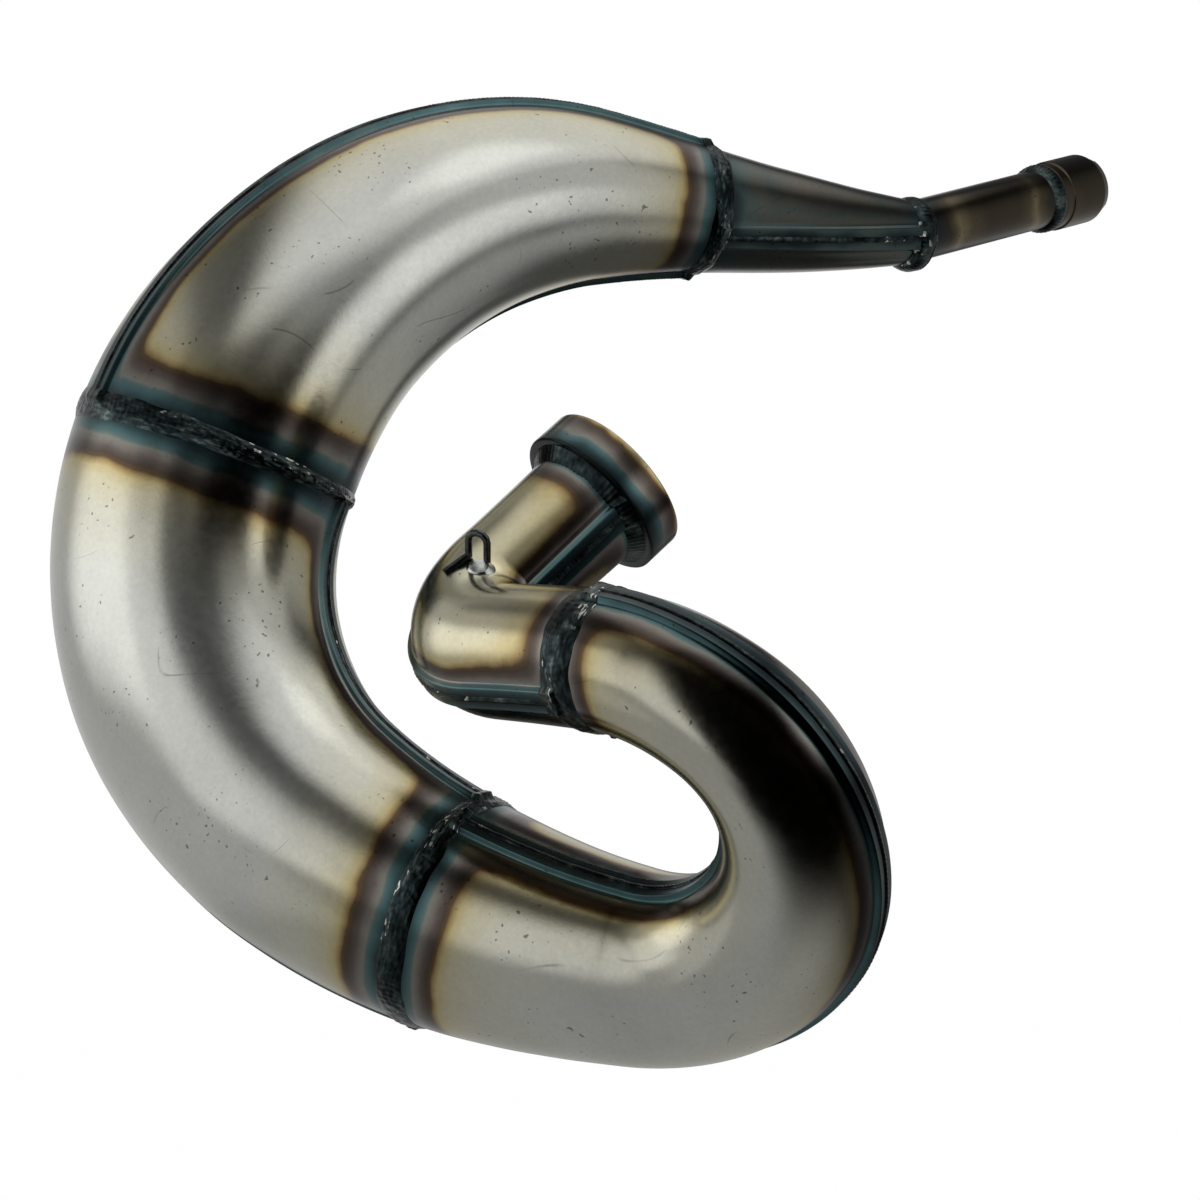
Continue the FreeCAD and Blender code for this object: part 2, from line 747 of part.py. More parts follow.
doc.recompute()
for item in doc.Objects:
    if "Invalid" in item.State or "Error" in item.State:
        raise ValueError(f"{item.Name} failed: {item.State}")
for name, node in nodes.items():
    shape = node.Shape
    if shape.isNull() or not shape.isValid() or len(shape.Solids) != 1:
        raise ValueError(f"{name} is not one valid solid")
for name, node in nodes.items():
    node.Shape.exportStep(f"parts/{name}.step")
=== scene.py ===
"""The looks of a two-stroke exhaust pipe: bare pressed steel, tinted by the heat of its welds."""

import math

import bpy
import numpy as np
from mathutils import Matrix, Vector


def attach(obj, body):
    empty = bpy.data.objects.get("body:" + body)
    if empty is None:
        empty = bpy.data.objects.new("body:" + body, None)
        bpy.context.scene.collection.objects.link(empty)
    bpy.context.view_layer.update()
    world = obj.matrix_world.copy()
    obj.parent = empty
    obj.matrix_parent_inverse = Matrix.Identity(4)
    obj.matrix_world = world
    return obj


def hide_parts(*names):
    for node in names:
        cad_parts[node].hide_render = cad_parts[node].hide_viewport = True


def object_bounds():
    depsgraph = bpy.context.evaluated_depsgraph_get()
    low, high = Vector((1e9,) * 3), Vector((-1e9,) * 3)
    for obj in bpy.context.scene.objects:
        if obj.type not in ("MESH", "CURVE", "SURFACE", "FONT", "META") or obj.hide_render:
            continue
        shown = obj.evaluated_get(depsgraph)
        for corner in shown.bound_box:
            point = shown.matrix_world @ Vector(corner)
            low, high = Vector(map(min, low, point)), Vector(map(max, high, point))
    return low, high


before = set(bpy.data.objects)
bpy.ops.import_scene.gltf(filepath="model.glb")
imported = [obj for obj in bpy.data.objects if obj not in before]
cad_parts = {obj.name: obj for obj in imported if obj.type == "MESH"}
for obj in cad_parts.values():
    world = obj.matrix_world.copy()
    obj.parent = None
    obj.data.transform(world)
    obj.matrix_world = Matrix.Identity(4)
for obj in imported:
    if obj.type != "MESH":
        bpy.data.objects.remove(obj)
cad_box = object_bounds()
MM = 0.001
NEARLY_NOTHING = 1e-9

# Shape of the pipe, in millimetres and degrees

HEADER = {"heading": -151.5, "pitch": -39.5, "roll": -14.5}
WALL = 1.2
RIM = {"flat": 4.9, "foot": 6.4, "height": 2.0, "cone_height": 1.2}
SOCKET = {"length": 16.5, "radius": 34.25, "bore": 27.5, "depth": 11.0, "throat": 25.3, "edge": 0.8,
          "flare": 0.2, "bevel": 0.7}
STINGER = {"roll": -8.0, "kink": -18.5, "length": 97.0, "radius": 14.5, "wall": 1.6}
COLLAR = {"gap": 3.0, "length": 33.0, "radius": 17.25, "bore": 15.0, "overlap": 12.0, "step": 5.0,
          "step_depth": 0.7, "step_slope": 0.5, "edge": 1.4, "taper": 4.5, "bevel": 0.4,
          "notches": 3, "notch": 4.5, "notch_depth": 4.2, "notch_lean": 0.3, "clock": 11.5}

# Each bend is its length, its angle and, where it leaves the seam's plane, its turn. The roll turns a
# section against the one before it, the seam is the inner seam's clock angle at the section's two
# ends, and the radii are evenly spaced along it.
SECTIONS = {
    "elbow": {"bends": ((52, -1.5), (57, 105.5), (53, -3)), "roll": 0, "seam": (6, -7),
              "radii": (26.5, 25.5, 27, 27.75)},
    "loop": {"bends": ((57, 40.5), (42, 48.5), (153, 105, -14), (84, 11.5, 25.5)), "roll": 264,
             "seam": (-14, -9), "radii": (27.75, 29.5, 34.5, 40.75, 49.5)},
    "belly": {"bends": ((73, 13.5), (78, 27.5), (114, 47)), "roll": 33.5, "seam": (-16, 8),
              "radii": (49.5, 55.5, 61, 63)},
    "upper": {"bends": ((64, 20), (162, 51), (54, 4.5)), "roll": 47, "seam": (11, 5),
              "radii": (63, 56.25, 44.5, 29.5)},
    "cone": {"bends": ((47, -2.5), (67, -6)), "roll": -42.5, "seam": (-20, -37),
             "radii": (29.5, 22.5, 15.25)},
}
ORDER = tuple(SECTIONS)


# Centreline

def unit(vector):
    return vector / np.linalg.norm(vector)


def turned(vector, axis, degrees):
    """A vector turned about a unit axis."""
    angle = math.radians(degrees)
    return (
        vector * math.cos(angle) + np.cross(axis, vector) * math.sin(angle)
        + axis * np.dot(axis, vector) * (1 - math.cos(angle))
    )


class Frame:
    """A point on the centreline, the way the gas runs and the way to the inner seam."""

    def __init__(self, place, along, inner):
        self.place, self.along, self.inner = place, along, inner

    def side(self):
        return np.cross(self.along, self.inner)

    def rolled(self, angle):
        return Frame(self.place, self.along, turned(self.inner, self.along, angle))

    def ahead(self, distance):
        return Frame(self.place + self.along * distance, self.along, self.inner)

    def kinked(self, angle):
        axis = self.side()
        return Frame(self.place, turned(self.along, axis, angle), turned(self.inner, axis, angle))

    def bent(self, length, bend, turn):
        toward = turned(self.inner, self.along, turn)
        axis, angle = np.cross(self.along, toward), math.radians(bend)
        radius = length / angle if abs(angle) > NEARLY_NOTHING else 0
        shift = self.along * (radius * math.sin(angle)) + toward * (radius * (1 - math.cos(angle)))
        return Frame(self.place + shift, turned(self.along, axis, bend), turned(self.inner, axis, bend))

    def around(self, clock):
        """The outward direction at a clock angle from the inner seam."""
        return turned(self.inner, self.along, clock)


def length_of(section):
    return sum(bend[0] for bend in SECTIONS[section]["bends"])


def along_section(start, section, distance):
    """The frame this far along a section that starts at the given frame."""
    here = start
    for bend in SECTIONS[section]["bends"]:
        length, angle, turn = (*bend, 0)[:3]
        if distance <= length:
            break
        here = here.bent(length, angle, turn)
        distance -= length
    if distance <= NEARLY_NOTHING:
        return here
    return here.bent(distance, angle * distance / length, turn)


def socket_mouth():
    heading, pitch = math.radians(HEADER["heading"]), math.radians(HEADER["pitch"])
    along = np.array([
        math.cos(pitch) * math.cos(heading), math.cos(pitch) * math.sin(heading), math.sin(pitch)
    ])
    level = unit(np.cross([0, 0, 1], along))
    return Frame(np.zeros(3), along, turned(level, along, HEADER["roll"]))


def section_starts():
    """The frame and the distance from the socket at which each section starts."""
    here, travelled = socket_mouth().ahead(SOCKET["length"]), 0.0
    starts = {}
    for section in ORDER:
        here = here.rolled(SECTIONS[section]["roll"])
        starts[section] = (here, travelled)
        travelled += length_of(section)
        here = along_section(here, section, length_of(section))
    starts["end"] = (here, travelled)
    return starts


STARTS = section_starts()


def frame_at(section, distance):
    return along_section(STARTS[section][0], section, distance)


# Radius: a monotone cubic through the stated radii

SAME_PLACE = 1e-6


def radius_curve():
    """Distances from the socket, with the radius and its slope at each."""
    places, radii = [], []
    for section in ORDER:
        count = len(SECTIONS[section]["radii"])
        for number, radius in enumerate(SECTIONS[section]["radii"]):
            place = STARTS[section][1] + length_of(section) * number / (count - 1)
            if not places or place > places[-1] + SAME_PLACE:
                places.append(place)
                radii.append(radius)
    places, radii = np.array(places), np.array(radii)
    gaps = np.diff(places)
    grades = np.diff(radii) / gaps
    slopes = np.zeros(len(places))
    slopes[0], slopes[-1] = grades[0], grades[-1]
    for number in range(1, len(places) - 1):
        before, after = grades[number - 1], grades[number]
        if before * after > 0:
            first = 2 * gaps[number] + gaps[number - 1]
            second = gaps[number] + 2 * gaps[number - 1]
            slopes[number] = (first + second) / (first / before + second / after)
    return places, radii, slopes


KNOTS, RADII, SLOPES = radius_curve()


def tube_radius(section, distance):
    place = STARTS[section][1] + distance
    index = int(np.clip(np.searchsorted(KNOTS, place, side="right") - 1, 0, len(KNOTS) - 2))
    gap = KNOTS[index + 1] - KNOTS[index]
    share = (place - KNOTS[index]) / gap
    return (
        RADII[index] * (1 + 2 * share) * (1 - share) ** 2
        + RADII[index + 1] * share ** 2 * (3 - 2 * share)
        + SLOPES[index] * gap * share * (1 - share) ** 2
        - SLOPES[index + 1] * gap * share ** 2 * (1 - share)
    )


def seam_clock(section, distance):
    start, end = SECTIONS[section]["seam"]
    return start + (end - start) * distance / length_of(section)


def seam_frame(section, distance):
    """The frame whose inner direction points at the inner seam."""
    return frame_at(section, distance).rolled(seam_clock(section, distance))


def rim_height(section):
    return RIM["cone_height"] if section == "cone" else RIM["height"]


def smoothstep(value):
    value = np.clip(value, 0, 1)
    return value * value * (3 - 2 * value)


def rim_share(sideways):
    """1 on the flat of a rim, falling to 0 where it meets the round wall."""
    return 1 - smoothstep((np.abs(sideways) - RIM["flat"]) / (RIM["foot"] - RIM["flat"]))


# Meshes

# Brings a sum of waves back up to a swing of about 1
NOISE_GAIN = 1.6

# Edges sharper than this, in degrees, aren't shaded smooth
SHARP_EDGE = 40


def wandering(seed, count, much, waves, falloff, repeats=True):
    """Smooth wandering about 0 along a line, whose end meets its start where it repeats."""
    draw = np.random.default_rng(seed)
    place = np.linspace(0, 1, count, endpoint=not repeats)
    value = np.zeros(count)
    total = 0
    for wave in range(1, waves + 1):
        size = falloff ** wave
        total += size
        value += size * np.sin(2 * np.pi * (wave * place + draw.random()))
    return much * (value / total * NOISE_GAIN)


def clock_angles(count):
    """Evenly spaced clock angles all the way round."""
    return np.arange(count) * 360 / count


def grid_quads(rows, columns, start=0, closed_rows=False, flip=False):
    """Vertex indices of a grid's quads; closed rows join the last row to the first."""
    row = np.arange(rows if closed_rows else rows - 1)
    column = np.arange(columns - 1)
    here = (row[:, None] * columns + column[None, :]).ravel()
    after = ((row[:, None] + 1) % rows * columns + column[None, :]).ravel()
    quads = np.stack([here, here + 1, after + 1, after], axis=1) + start
    return quads[:, ::-1] if flip else quads


def strip_quads(first, second, flip=False):
    """Quads between two equal lines of vertex indices."""
    quads = np.stack([first[:-1], second[:-1], second[1:], first[1:]], axis=1)
    return quads[:, ::-1] if flip else quads


def add_piece(name, points, quads, heat=None, flow=None):
    """A mesh piece from points in millimetres.

    Heat is how far each point is from its weld, made lower on some insides so that they are darker, and
    flow is where it lies in the grain of a bead.
    """
    mesh = bpy.data.meshes.new(name)
    points, quads = np.asarray(points, dtype=float), np.asarray(quads, dtype=np.int32)
    mesh.vertices.add(len(points))
    mesh.vertices.foreach_set("co", (points * MM).ravel())
    mesh.loops.add(quads.size)
    mesh.loops.foreach_set("vertex_index", quads.ravel())
    mesh.polygons.add(len(quads))
    mesh.polygons.foreach_set("loop_start", np.arange(0, quads.size, 4, dtype=np.int32))
    mesh.polygons.foreach_set("use_smooth", np.ones(len(quads), dtype=bool))
    mesh.update(calc_edges=True)
    mesh.validate()
    if heat is not None:
        attribute = mesh.attributes.new("weld_heat", "FLOAT", "POINT")
        attribute.data.foreach_set("value", np.asarray(heat).ravel())
    if flow is not None:
        attribute = mesh.attributes.new("weld_flow", "FLOAT_VECTOR", "POINT")
        attribute.data.foreach_set("vector", (flow * MM).ravel())
    mesh.set_sharp_from_angle(angle=math.radians(SHARP_EDGE))
    piece = bpy.data.objects.new(name, mesh)
    bpy.context.scene.collection.objects.link(piece)
    return piece


def solid_between(outer, inner, closed_rows=False):
    """Points and quads of a closed wall between two grids of the same size."""
    rows, columns = outer.shape[:2]
    count = rows * columns
    points = np.concatenate([outer.reshape(-1, 3), inner.reshape(-1, 3)])
    index = np.arange(count).reshape(rows, columns)
    quads = [
        grid_quads(rows, columns, 0, closed_rows),
        grid_quads(rows, columns, count, closed_rows, flip=True),
    ]
    for line, flip in ((index[:, 0], False), (index[:, -1], True)):
        if closed_rows:
            line = np.append(line, line[0])
        quads.append(strip_quads(line, line + count, flip))
    if not closed_rows:
        quads.append(strip_quads(index[0], index[0] + count, True))
        quads.append(strip_quads(index[-1], index[-1] + count, False))
    return points, np.concatenate(quads)


def finish_piece(piece, material, slot, *nodes):
    """Gives a piece its material, hangs it from the root body and hides the CAD nodes that it stands in
    for.
    """
    piece.data.materials.clear()
    piece.data.materials.append(material)
    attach(piece, "root")
    if nodes:
        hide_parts(*nodes)


# Pressed half shells

# Steps across a rim, closest where it bends down to the wall
RIM_STEPS = np.array([0, 0.7, 1.5, 2.4, 3.3, 4.1, 4.6, 4.9, 5.15, 5.4, 5.65, 5.9, 6.15, 6.4])
STEP_ALONG = 2.2
STEP_AROUND = 2.6
DEGREES_A_STEP = 2.5
FEWEST_ALONG = 2
FEWEST_AROUND = 16

# How far the tint reaches from each ring weld, before and after it, and from a seam
RING_TINT = {
    "socket": (0, 15), "elbow": (16, 18), "loop": (26, 29), "belly": (30, 31), "upper": (27, 34),
    "cone": (30, 0),
}
SEAM_TINT = {"elbow": 15, "loop": 20, "belly": 15.5, "upper": 18, "cone": 14}

# The narrow pipe stays gold much further from its welds
GOLD_REACH = {"elbow": (130, 130), "loop": (62,)}
GOLD_START = 0.82

# The nearer of two welds counts more as this grows
BLEND_POWER = 4.0
NEAREST = 1e-3

# Slow waves in the pressed sheet: their lengths, how many of each, the height of each, and how far
# the sheet lies below its outline, so that no wave rises above it
DENTS = {"lengths": (34.0, 21.0, 55.0), "waves": 3, "phases": 6.28, "height": 0.012, "depth": 0.06}


def half_outline(radius, rim, count):
    """A half shell's outside, from the inner seam round to the outer, as inward and sideways."""
    share = rim_share(RIM_STEPS)
    inward = np.sqrt(radius ** 2 - RIM_STEPS ** 2) * (1 - share) + (radius + rim) * share
    first = math.asin(RIM_STEPS[-1] / radius)
    angle = np.linspace(first, math.pi - first, count)[1:-1]
    inward = np.concatenate([inward, radius * np.cos(angle), -inward[::-1]])
    sideways = np.concatenate([RIM_STEPS, radius * np.sin(angle), RIM_STEPS[::-1]])
    return inward, sideways


def distances_along(section, step):
    """Stations along a section, closer where it bends hard."""
    places, travelled = [0.0], 0.0
    for bend in SECTIONS[section]["bends"]:
        count = max(FEWEST_ALONG, round(bend[0] / step), round(abs(bend[1]) / DEGREES_A_STEP))
        places += [travelled + bend[0] * number / count for number in range(1, count + 1)]
        travelled += bend[0]
    return places


def dented(points, normals, seed):
    """Points moved by the slow waves that pressed sheet has, up to a tenth of a millimetre."""
    draw = np.random.default_rng(seed)
    height = np.zeros(points.shape[:2])
    for length in DENTS["lengths"]:
        for _ in range(DENTS["waves"]):
            way = draw.normal(size=3)
            way /= np.linalg.norm(way)
            height += np.sin(points @ way * 2 * np.pi / length + draw.random() * DENTS["phases"])
    return points - normals * (DENTS["height"] * height + DENTS["depth"])[..., None]


def tint_distance(grid):
    """Length along each of a grid's lines, from its first row and from its last."""
    steps = np.linalg.norm(np.diff(grid, axis=0), axis=2)
    from_first = np.vstack([np.zeros(grid.shape[1]), np.cumsum(steps, axis=0)])
    return from_first, from_first[-1] - from_first


def blended_heat(*shares):
    """The nearest of several distances, rounded where two are alike."""
    total = sum(np.maximum(share, NEAREST) ** -BLEND_POWER for share in shares)
    return total ** (-1 / BLEND_POWER)


def shell_grids(section, hand):
    """A half's outside and inside, the outside's normals and its distance from the nearer seam."""
    places = distances_along(section, STEP_ALONG)
    widest = max(SECTIONS[section]["radii"])
    count = max(FEWEST_AROUND, round(math.pi * widest / STEP_AROUND))
    rim = rim_height(section)
    outer, inner, normals, seam = [], [], [], []
    for distance in places:
        here, radius = seam_frame(section, distance), tube_radius(section, distance)
        across = here.side() * hand
        inward, sideways = half_outline(radius, rim, count)
        outer.append(here.place + np.outer(inward, here.inner) + np.outer(sideways, across))
        thin_inward, thin_sideways = half_outline(radius - WALL, rim, count)
        inner.append(here.place + np.outer(thin_inward, here.inner) + np.outer(thin_sideways, across))
        clock = np.arctan2(sideways, inward)
        normals.append(np.outer(np.cos(clock), here.inner) + np.outer(np.sin(clock), across))
        seam.append(radius * np.minimum(clock, math.pi - clock))
    return np.array(outer), np.array(inner), np.array(normals), np.array(seam)


def add_half(section, word, hand, material):
    outer, inner, normals, seam = shell_grids(section, hand)
    number = ORDER.index(section)
    from_first, from_last = tint_distance(outer)
    before = RING_TINT["socket" if number == 0 else ORDER[number - 1]][1]
    after = RING_TINT[section][0]
    heat = blended_heat(from_first / before, from_last / after, seam / SEAM_TINT[section])
    for away, gold in zip((from_first, from_last), GOLD_REACH.get(section, ())):
        heat = blended_heat(heat, away / gold + GOLD_START)
    outer = dented(outer, normals, number * 2 + (hand > 0))
    points, quads = solid_between(outer, inner)
    if hand > 0:
        quads = quads[:, ::-1]
    name = f"{section}_{word}_half"
    piece = add_piece(f"{name}_sheet", points, quads, np.concatenate([heat.ravel(), heat.ravel()]))
    finish_piece(piece, material, "pressed_steel", name)


# Weld beads, in millimetres. What wanders along a bead has three values: how much, in how many waves,
# and how much smaller each wave is than the one before it.

SEAM_BEAD = {
    "step": 0.7, "columns": 9, "end_gap": 1.0, "half_width": 1.35, "swing": (0.3, 40, 0.97),
    "wander": (0.35, 30, 0.97), "height": 0.62, "lump": (0.35, 60, 0.98), "ripple": 0.1, "pitch": 1.7,
    "bow": 1.2, "sunk": 0.3,
}
RING_BEAD = {
    "step": 0.8, "columns": 25, "span": 10, "stations": 41, "blend": 3.0, "wander": (0.9, 14, 0.9),
    "swing": (0.16, 24, 0.95), "lump": (0.3, 40, 0.97), "skew": (0.9, 18, 0.95),
    "drift": (1.3, 26, 0.97), "swell": (0.5, 20, 0.97), "ripple": 0.2, "bow": 0.9, "rough": 0.1,
    "smoothing": 2, "dome": 2.4, "proud": 0.05, "sunk": 0.7, "grain_squeeze": 3.2, "grain_skew": 2,
}
SOCKET_BEAD = {
    "count": 260, "columns": 17, "leg": 5.2, "swing": (0.14, 22, 0.95), "lump": (0.3, 34, 0.97),
    "rise": 0.85, "hollow": 1.5, "sag": 0.32, "spread": 1.2, "ripple": 0.06, "pitch": 3.3, "bow": 2.0,
    "drift": 4, "tuck": 0.25, "sunk": 0.8, "foot": 4.6,
}
STINGER_BEAD = {
    "count": 200, "columns": 41, "radius": 15.0, "half_width": 5.6, "height": 2.7,
    "lump": (0.14, 18, 0.93), "wander": (0.5, 9, 0.9), "droop": 1.0, "line": 0.55, "line_at": 0.82,
    "line_width": 0.07, "ripple": 0.1, "pitch": 4.1, "bow": 1.1, "inside": 12.6,
}
COLLAR_BEAD = {
    "count": 180, "columns": 17, "half_width": 3.7, "middle": -0.8, "height": 1.2,
    "lump": (0.3, 22, 0.95), "slope": 1.0, "ripple": 0.15, "pitch": 3.7, "bow": 0.9, "sunk": 0.7,
}

# Width, height and pitch of each ring weld, by the section before it
RING_SIZES = {
    "elbow": (14.5, 0.9, 2.6), "loop": (11.0, 1.1, 3.1), "belly": (10.0, 0.9, 2.7),
    "upper": (9.5, 1.1, 2.6),
}


def add_seam(section, word, way, material, seed):
    """A thin rippled bead on the two rims where they meet."""
    s = SEAM_BEAD
    length, rim = length_of(section), rim_height(section)
    count = round(length / s["step"])
    across = np.linspace(-1, 1, s["columns"])
    wander = wandering(seed, count, *s["wander"], repeats=False)
    width = s["half_width"] + wandering(seed + 1, count, *s["swing"], repeats=False)
    lump = 1 + wandering(seed + 2, count, *s["lump"], repeats=False)
    top, under = [], []
    for number, distance in enumerate(np.linspace(s["end_gap"], length - s["end_gap"], count)):
        here, radius = seam_frame(section, distance), tube_radius(section, distance)
        out, side = here.inner * way, here.side()
        base = radius + rim
        ripple = s["ripple"] * np.cos(2 * np.pi * distance / s["pitch"] + s["bow"] * across ** 2)
        height = (1 - across ** 2) * (s["height"] * lump[number] + ripple)
        offset = wander[number] + across * width[number]
        low = np.full(s["columns"], base - s["sunk"])
        top.append(here.place + np.outer(base + height, out) + np.outer(offset, side))
        under.append(here.place + np.outer(low, out) + np.outer(offset, side))
    points, quads = solid_between(np.array(top), np.array(under))
    if way > 0:
        quads = quads[:, ::-1]
    name = f"{section}_{word}_seam_weld"
    finish_piece(add_piece(f"{name}_bead", points, quads), material, "weld_bead", name)


def reach(section, distance, clock, seam):
    """How far the outside of a section, rims included, stands off its centreline."""
    radius = tube_radius(section, distance)
    sideways = radius * np.sin(np.radians(clock - seam))
    return radius + rim_share(sideways) * (rim_height(section) + sideways ** 2 / (2 * radius))


def joint_frames(before, after, offsets):
    """Place, way along, inner way and side way at each offset along the centreline from a joint."""
    end, roll = length_of(before), SECTIONS[after]["roll"]
    rows = []
    for offset in offsets:
        here = frame_at(before, end + offset) if offset < 0 else frame_at(after, offset).rolled(-roll)
        rows.append(np.concatenate([here.place, here.along, here.inner, here.side()]))
    return np.array(rows)


def joint_reach(before, after, offsets, clock):
    """How far the outside stands off the centreline, at each offset from a joint and each clock angle."""
    end, roll = length_of(before), SECTIONS[after]["roll"]
    low, high = [], []
    for offset in offsets:
        near, far = min(end, end + offset), max(0, offset)
        low.append(reach(before, near, clock, seam_clock(before, near)))
        high.append(reach(after, far, clock, roll + seam_clock(after, far)))
    blend = RING_BEAD["blend"]
    share = smoothstep((offsets + blend / 2) / blend)[:, None]
    return np.array(low) * (1 - share) + np.array(high) * share


def rough_rows(seed, count, columns):
    """Small random bumps over a closed bead, smoothed a little."""
    rough = np.random.default_rng(seed).normal(size=(count, columns))
    for _ in range(RING_BEAD["smoothing"]):
        for axis in (0, 1):
            rough = (rough + np.roll(rough, 1, axis) + np.roll(rough, -1, axis)) / 2
    return rough


def add_ring(before, after, material, seed, width, height, pitch):
    """A rough lobed bead round the joint of two sections."""
    b = RING_BEAD
    radius = tube_radius(after, 0)
    count = round(2 * math.pi * radius / b["step"])
    clock = clock_angles(count)
    across = np.linspace(-1, 1, b["columns"])
    wander = wandering(seed, count, *b["wander"])
    half = width / 2 * (1 + wandering(seed + 1, count, *b["swing"]))
    lump = 1 + wandering(seed + 2, count, *b["lump"])
    skew = wandering(seed + 3, count, *b["skew"])
    drift = wandering(seed + 4, count, *b["drift"])
    swell = 0.5 + wandering(seed + 5, count, *b["swell"])

    # Each point's place along the centreline is read between the two nearest stations
    offsets = np.linspace(-b["span"], b["span"], b["stations"])
    frames = joint_frames(before, after, offsets)
    base = joint_reach(before, after, offsets, clock)
    place = wander[:, None] + across[None, :] * half[:, None]
    column = (place - offsets[0]) / (offsets[1] - offsets[0])
    index = np.clip(column.astype(int), 0, len(offsets) - 2)
    part = (column - index)[..., None]
    at = frames[index] * (1 - part) + frames[index + 1] * part
    rows = np.arange(count)[:, None]
    stand = base[index, rows] * (1 - part[..., 0]) + base[index + 1, rows] * part[..., 0]

    ripples = round(count * b["step"] / pitch)
    phase = clock[:, None] / 360 * ripples + drift[:, None] + b["bow"] * across ** 2
    phase = phase + skew[:, None] * across
    ripple = b["ripple"] * swell[:, None] * np.cos(2 * np.pi * phase)
    rough = b["rough"] * rough_rows(seed + 9, count, b["columns"])
    dome = (1 - np.abs(across) ** b["dome"])[None, :]
    rise = dome * (height * lump[:, None] + ripple + rough)
    inward, sideways = np.cos(np.radians(clock))[:, None], np.sin(np.radians(clock))[:, None]
    outward = inward[..., None] * at[..., 6:9] + sideways[..., None] * at[..., 9:12]
    top = at[..., :3] + outward * (stand + rise + b["proud"])[..., None]
    under = at[..., :3] + outward * (stand - b["sunk"])[..., None]
    points, quads = solid_between(top, under, closed_rows=True)
    flow = np.stack([
        radius * inward + 0 * place,
        radius * sideways + 0 * place,
        b["grain_squeeze"] * place + b["grain_skew"] * skew[:, None],
    ], axis=2).reshape(-1, 3)
    name = f"{before}_{after}_ring_weld"
    piece = add_piece(f"{name}_bead", points, quads, flow=np.concatenate([flow, flow]))
    finish_piece(piece, material, "weld_bead", name)


# Turned parts

SEGMENTS = 240
SOCKET_MESH_STEP = 1.2
COLLAR_MESH_STEP = 0.9
STINGER_SEGMENTS = 128
STINGER_ROWS = 90

# Heat on the turned parts and the tube: where it starts, and the length over which it grows by 1. The
# socket's bore and the tube's inside are given less, and so are darker than the outside.
SOCKET_HEAT = {
    "start": 0.08, "length": 20.5, "bore_edge": 0.3, "bore_drop": 0.35, "least": 0.02, "most": 1.1,
}
STINGER_HEAT = {"start": 0.06, "length": 60, "end_start": 0.08, "end_length": 50, "inside": 0.4}
COLLAR_HEAT = {"start": 0.62, "growth": 0.012}


# A rounded corner takes at most one part in this many of the side next to it
SIDE_PARTS = 2.1
CORNER_STEPS = 3


def bevelled(corners, radius):
    """An outline of along, outward corners with each corner rounded."""
    points = []
    count = len(corners)
    for number in range(count):
        before, corner, after = (np.array(corners[(number + k) % count], float) for k in (-1, 0, 1))
        come, leave = unit(before - corner), unit(after - corner)
        shorter = min(np.linalg.norm(before - corner), np.linalg.norm(after - corner))
        room = min(radius, shorter / SIDE_PARTS)
        first, last = corner + come * room, corner + leave * room
        for share in np.linspace(0, 1, CORNER_STEPS + 1):
            points.append((1 - share) ** 2 * first + 2 * share * (1 - share) * corner + share ** 2 * last)
    return np.array(points)


def divided(outline, step):
    """The closed outline with its long runs split."""
    points = []
    for here, after in zip(outline, np.roll(outline, -1, axis=0)):
        count = max(1, int(np.linalg.norm(after - here) / step))
        for number in range(count):
            points.append(here + (after - here) * number / count)
    return np.array(points)


def closed_grid(rings):
    """Points and quads of a grid closed both ways."""
    rows, columns = rings.shape[:2]
    index = np.arange(rows * columns).reshape(rows, columns)
    here, down = index.ravel(), np.roll(index, -1, axis=0).ravel()
    beside = np.roll(index, -1, axis=1).ravel()
    corner = np.roll(np.roll(index, -1, axis=0), -1, axis=1).ravel()
    return rings.reshape(-1, 3), np.stack([here, beside, corner, down], axis=1)


def lathed(here, outline, segments):
    """Rings of points: the outline of along, outward pairs turned about the centreline."""
    clock = np.radians(clock_angles(segments))
    outward = np.outer(np.cos(clock), here.inner) + np.outer(np.sin(clock), here.side())
    along = here.place + np.outer(outline[:, 0], here.along)
    return along[None, :, :] + outward[:, None, :] * outline[None, :, 1:2]


def add_socket(material):
    s, h = SOCKET, SOCKET_HEAT
    corners = [
        (0, s["bore"] + s["flare"]), (0, s["radius"]), (s["length"], s["radius"]),
        (s["length"], s["throat"]), (s["depth"], s["throat"]), (s["depth"], s["bore"]),
        (s["edge"], s["bore"]),
    ]
    outline = divided(bevelled(corners, s["bevel"]), SOCKET_MESH_STEP)
    points, quads = closed_grid(lathed(socket_mouth(), outline, SEGMENTS))
    heat = (s["length"] - outline[:, 0]) / h["length"] + h["start"]
    # The bore is made darker than the outside at the same place along.
    heat += np.where(outline[:, 1] < s["bore"] + h["bore_edge"], -h["bore_drop"], 0)
    heat = np.tile(np.clip(heat, h["least"], h["most"]), (SEGMENTS, 1))
    piece = add_piece("header_socket_ring_turned", points, quads, heat)
    finish_piece(piece, material, "socket_steel", "header_socket_ring")


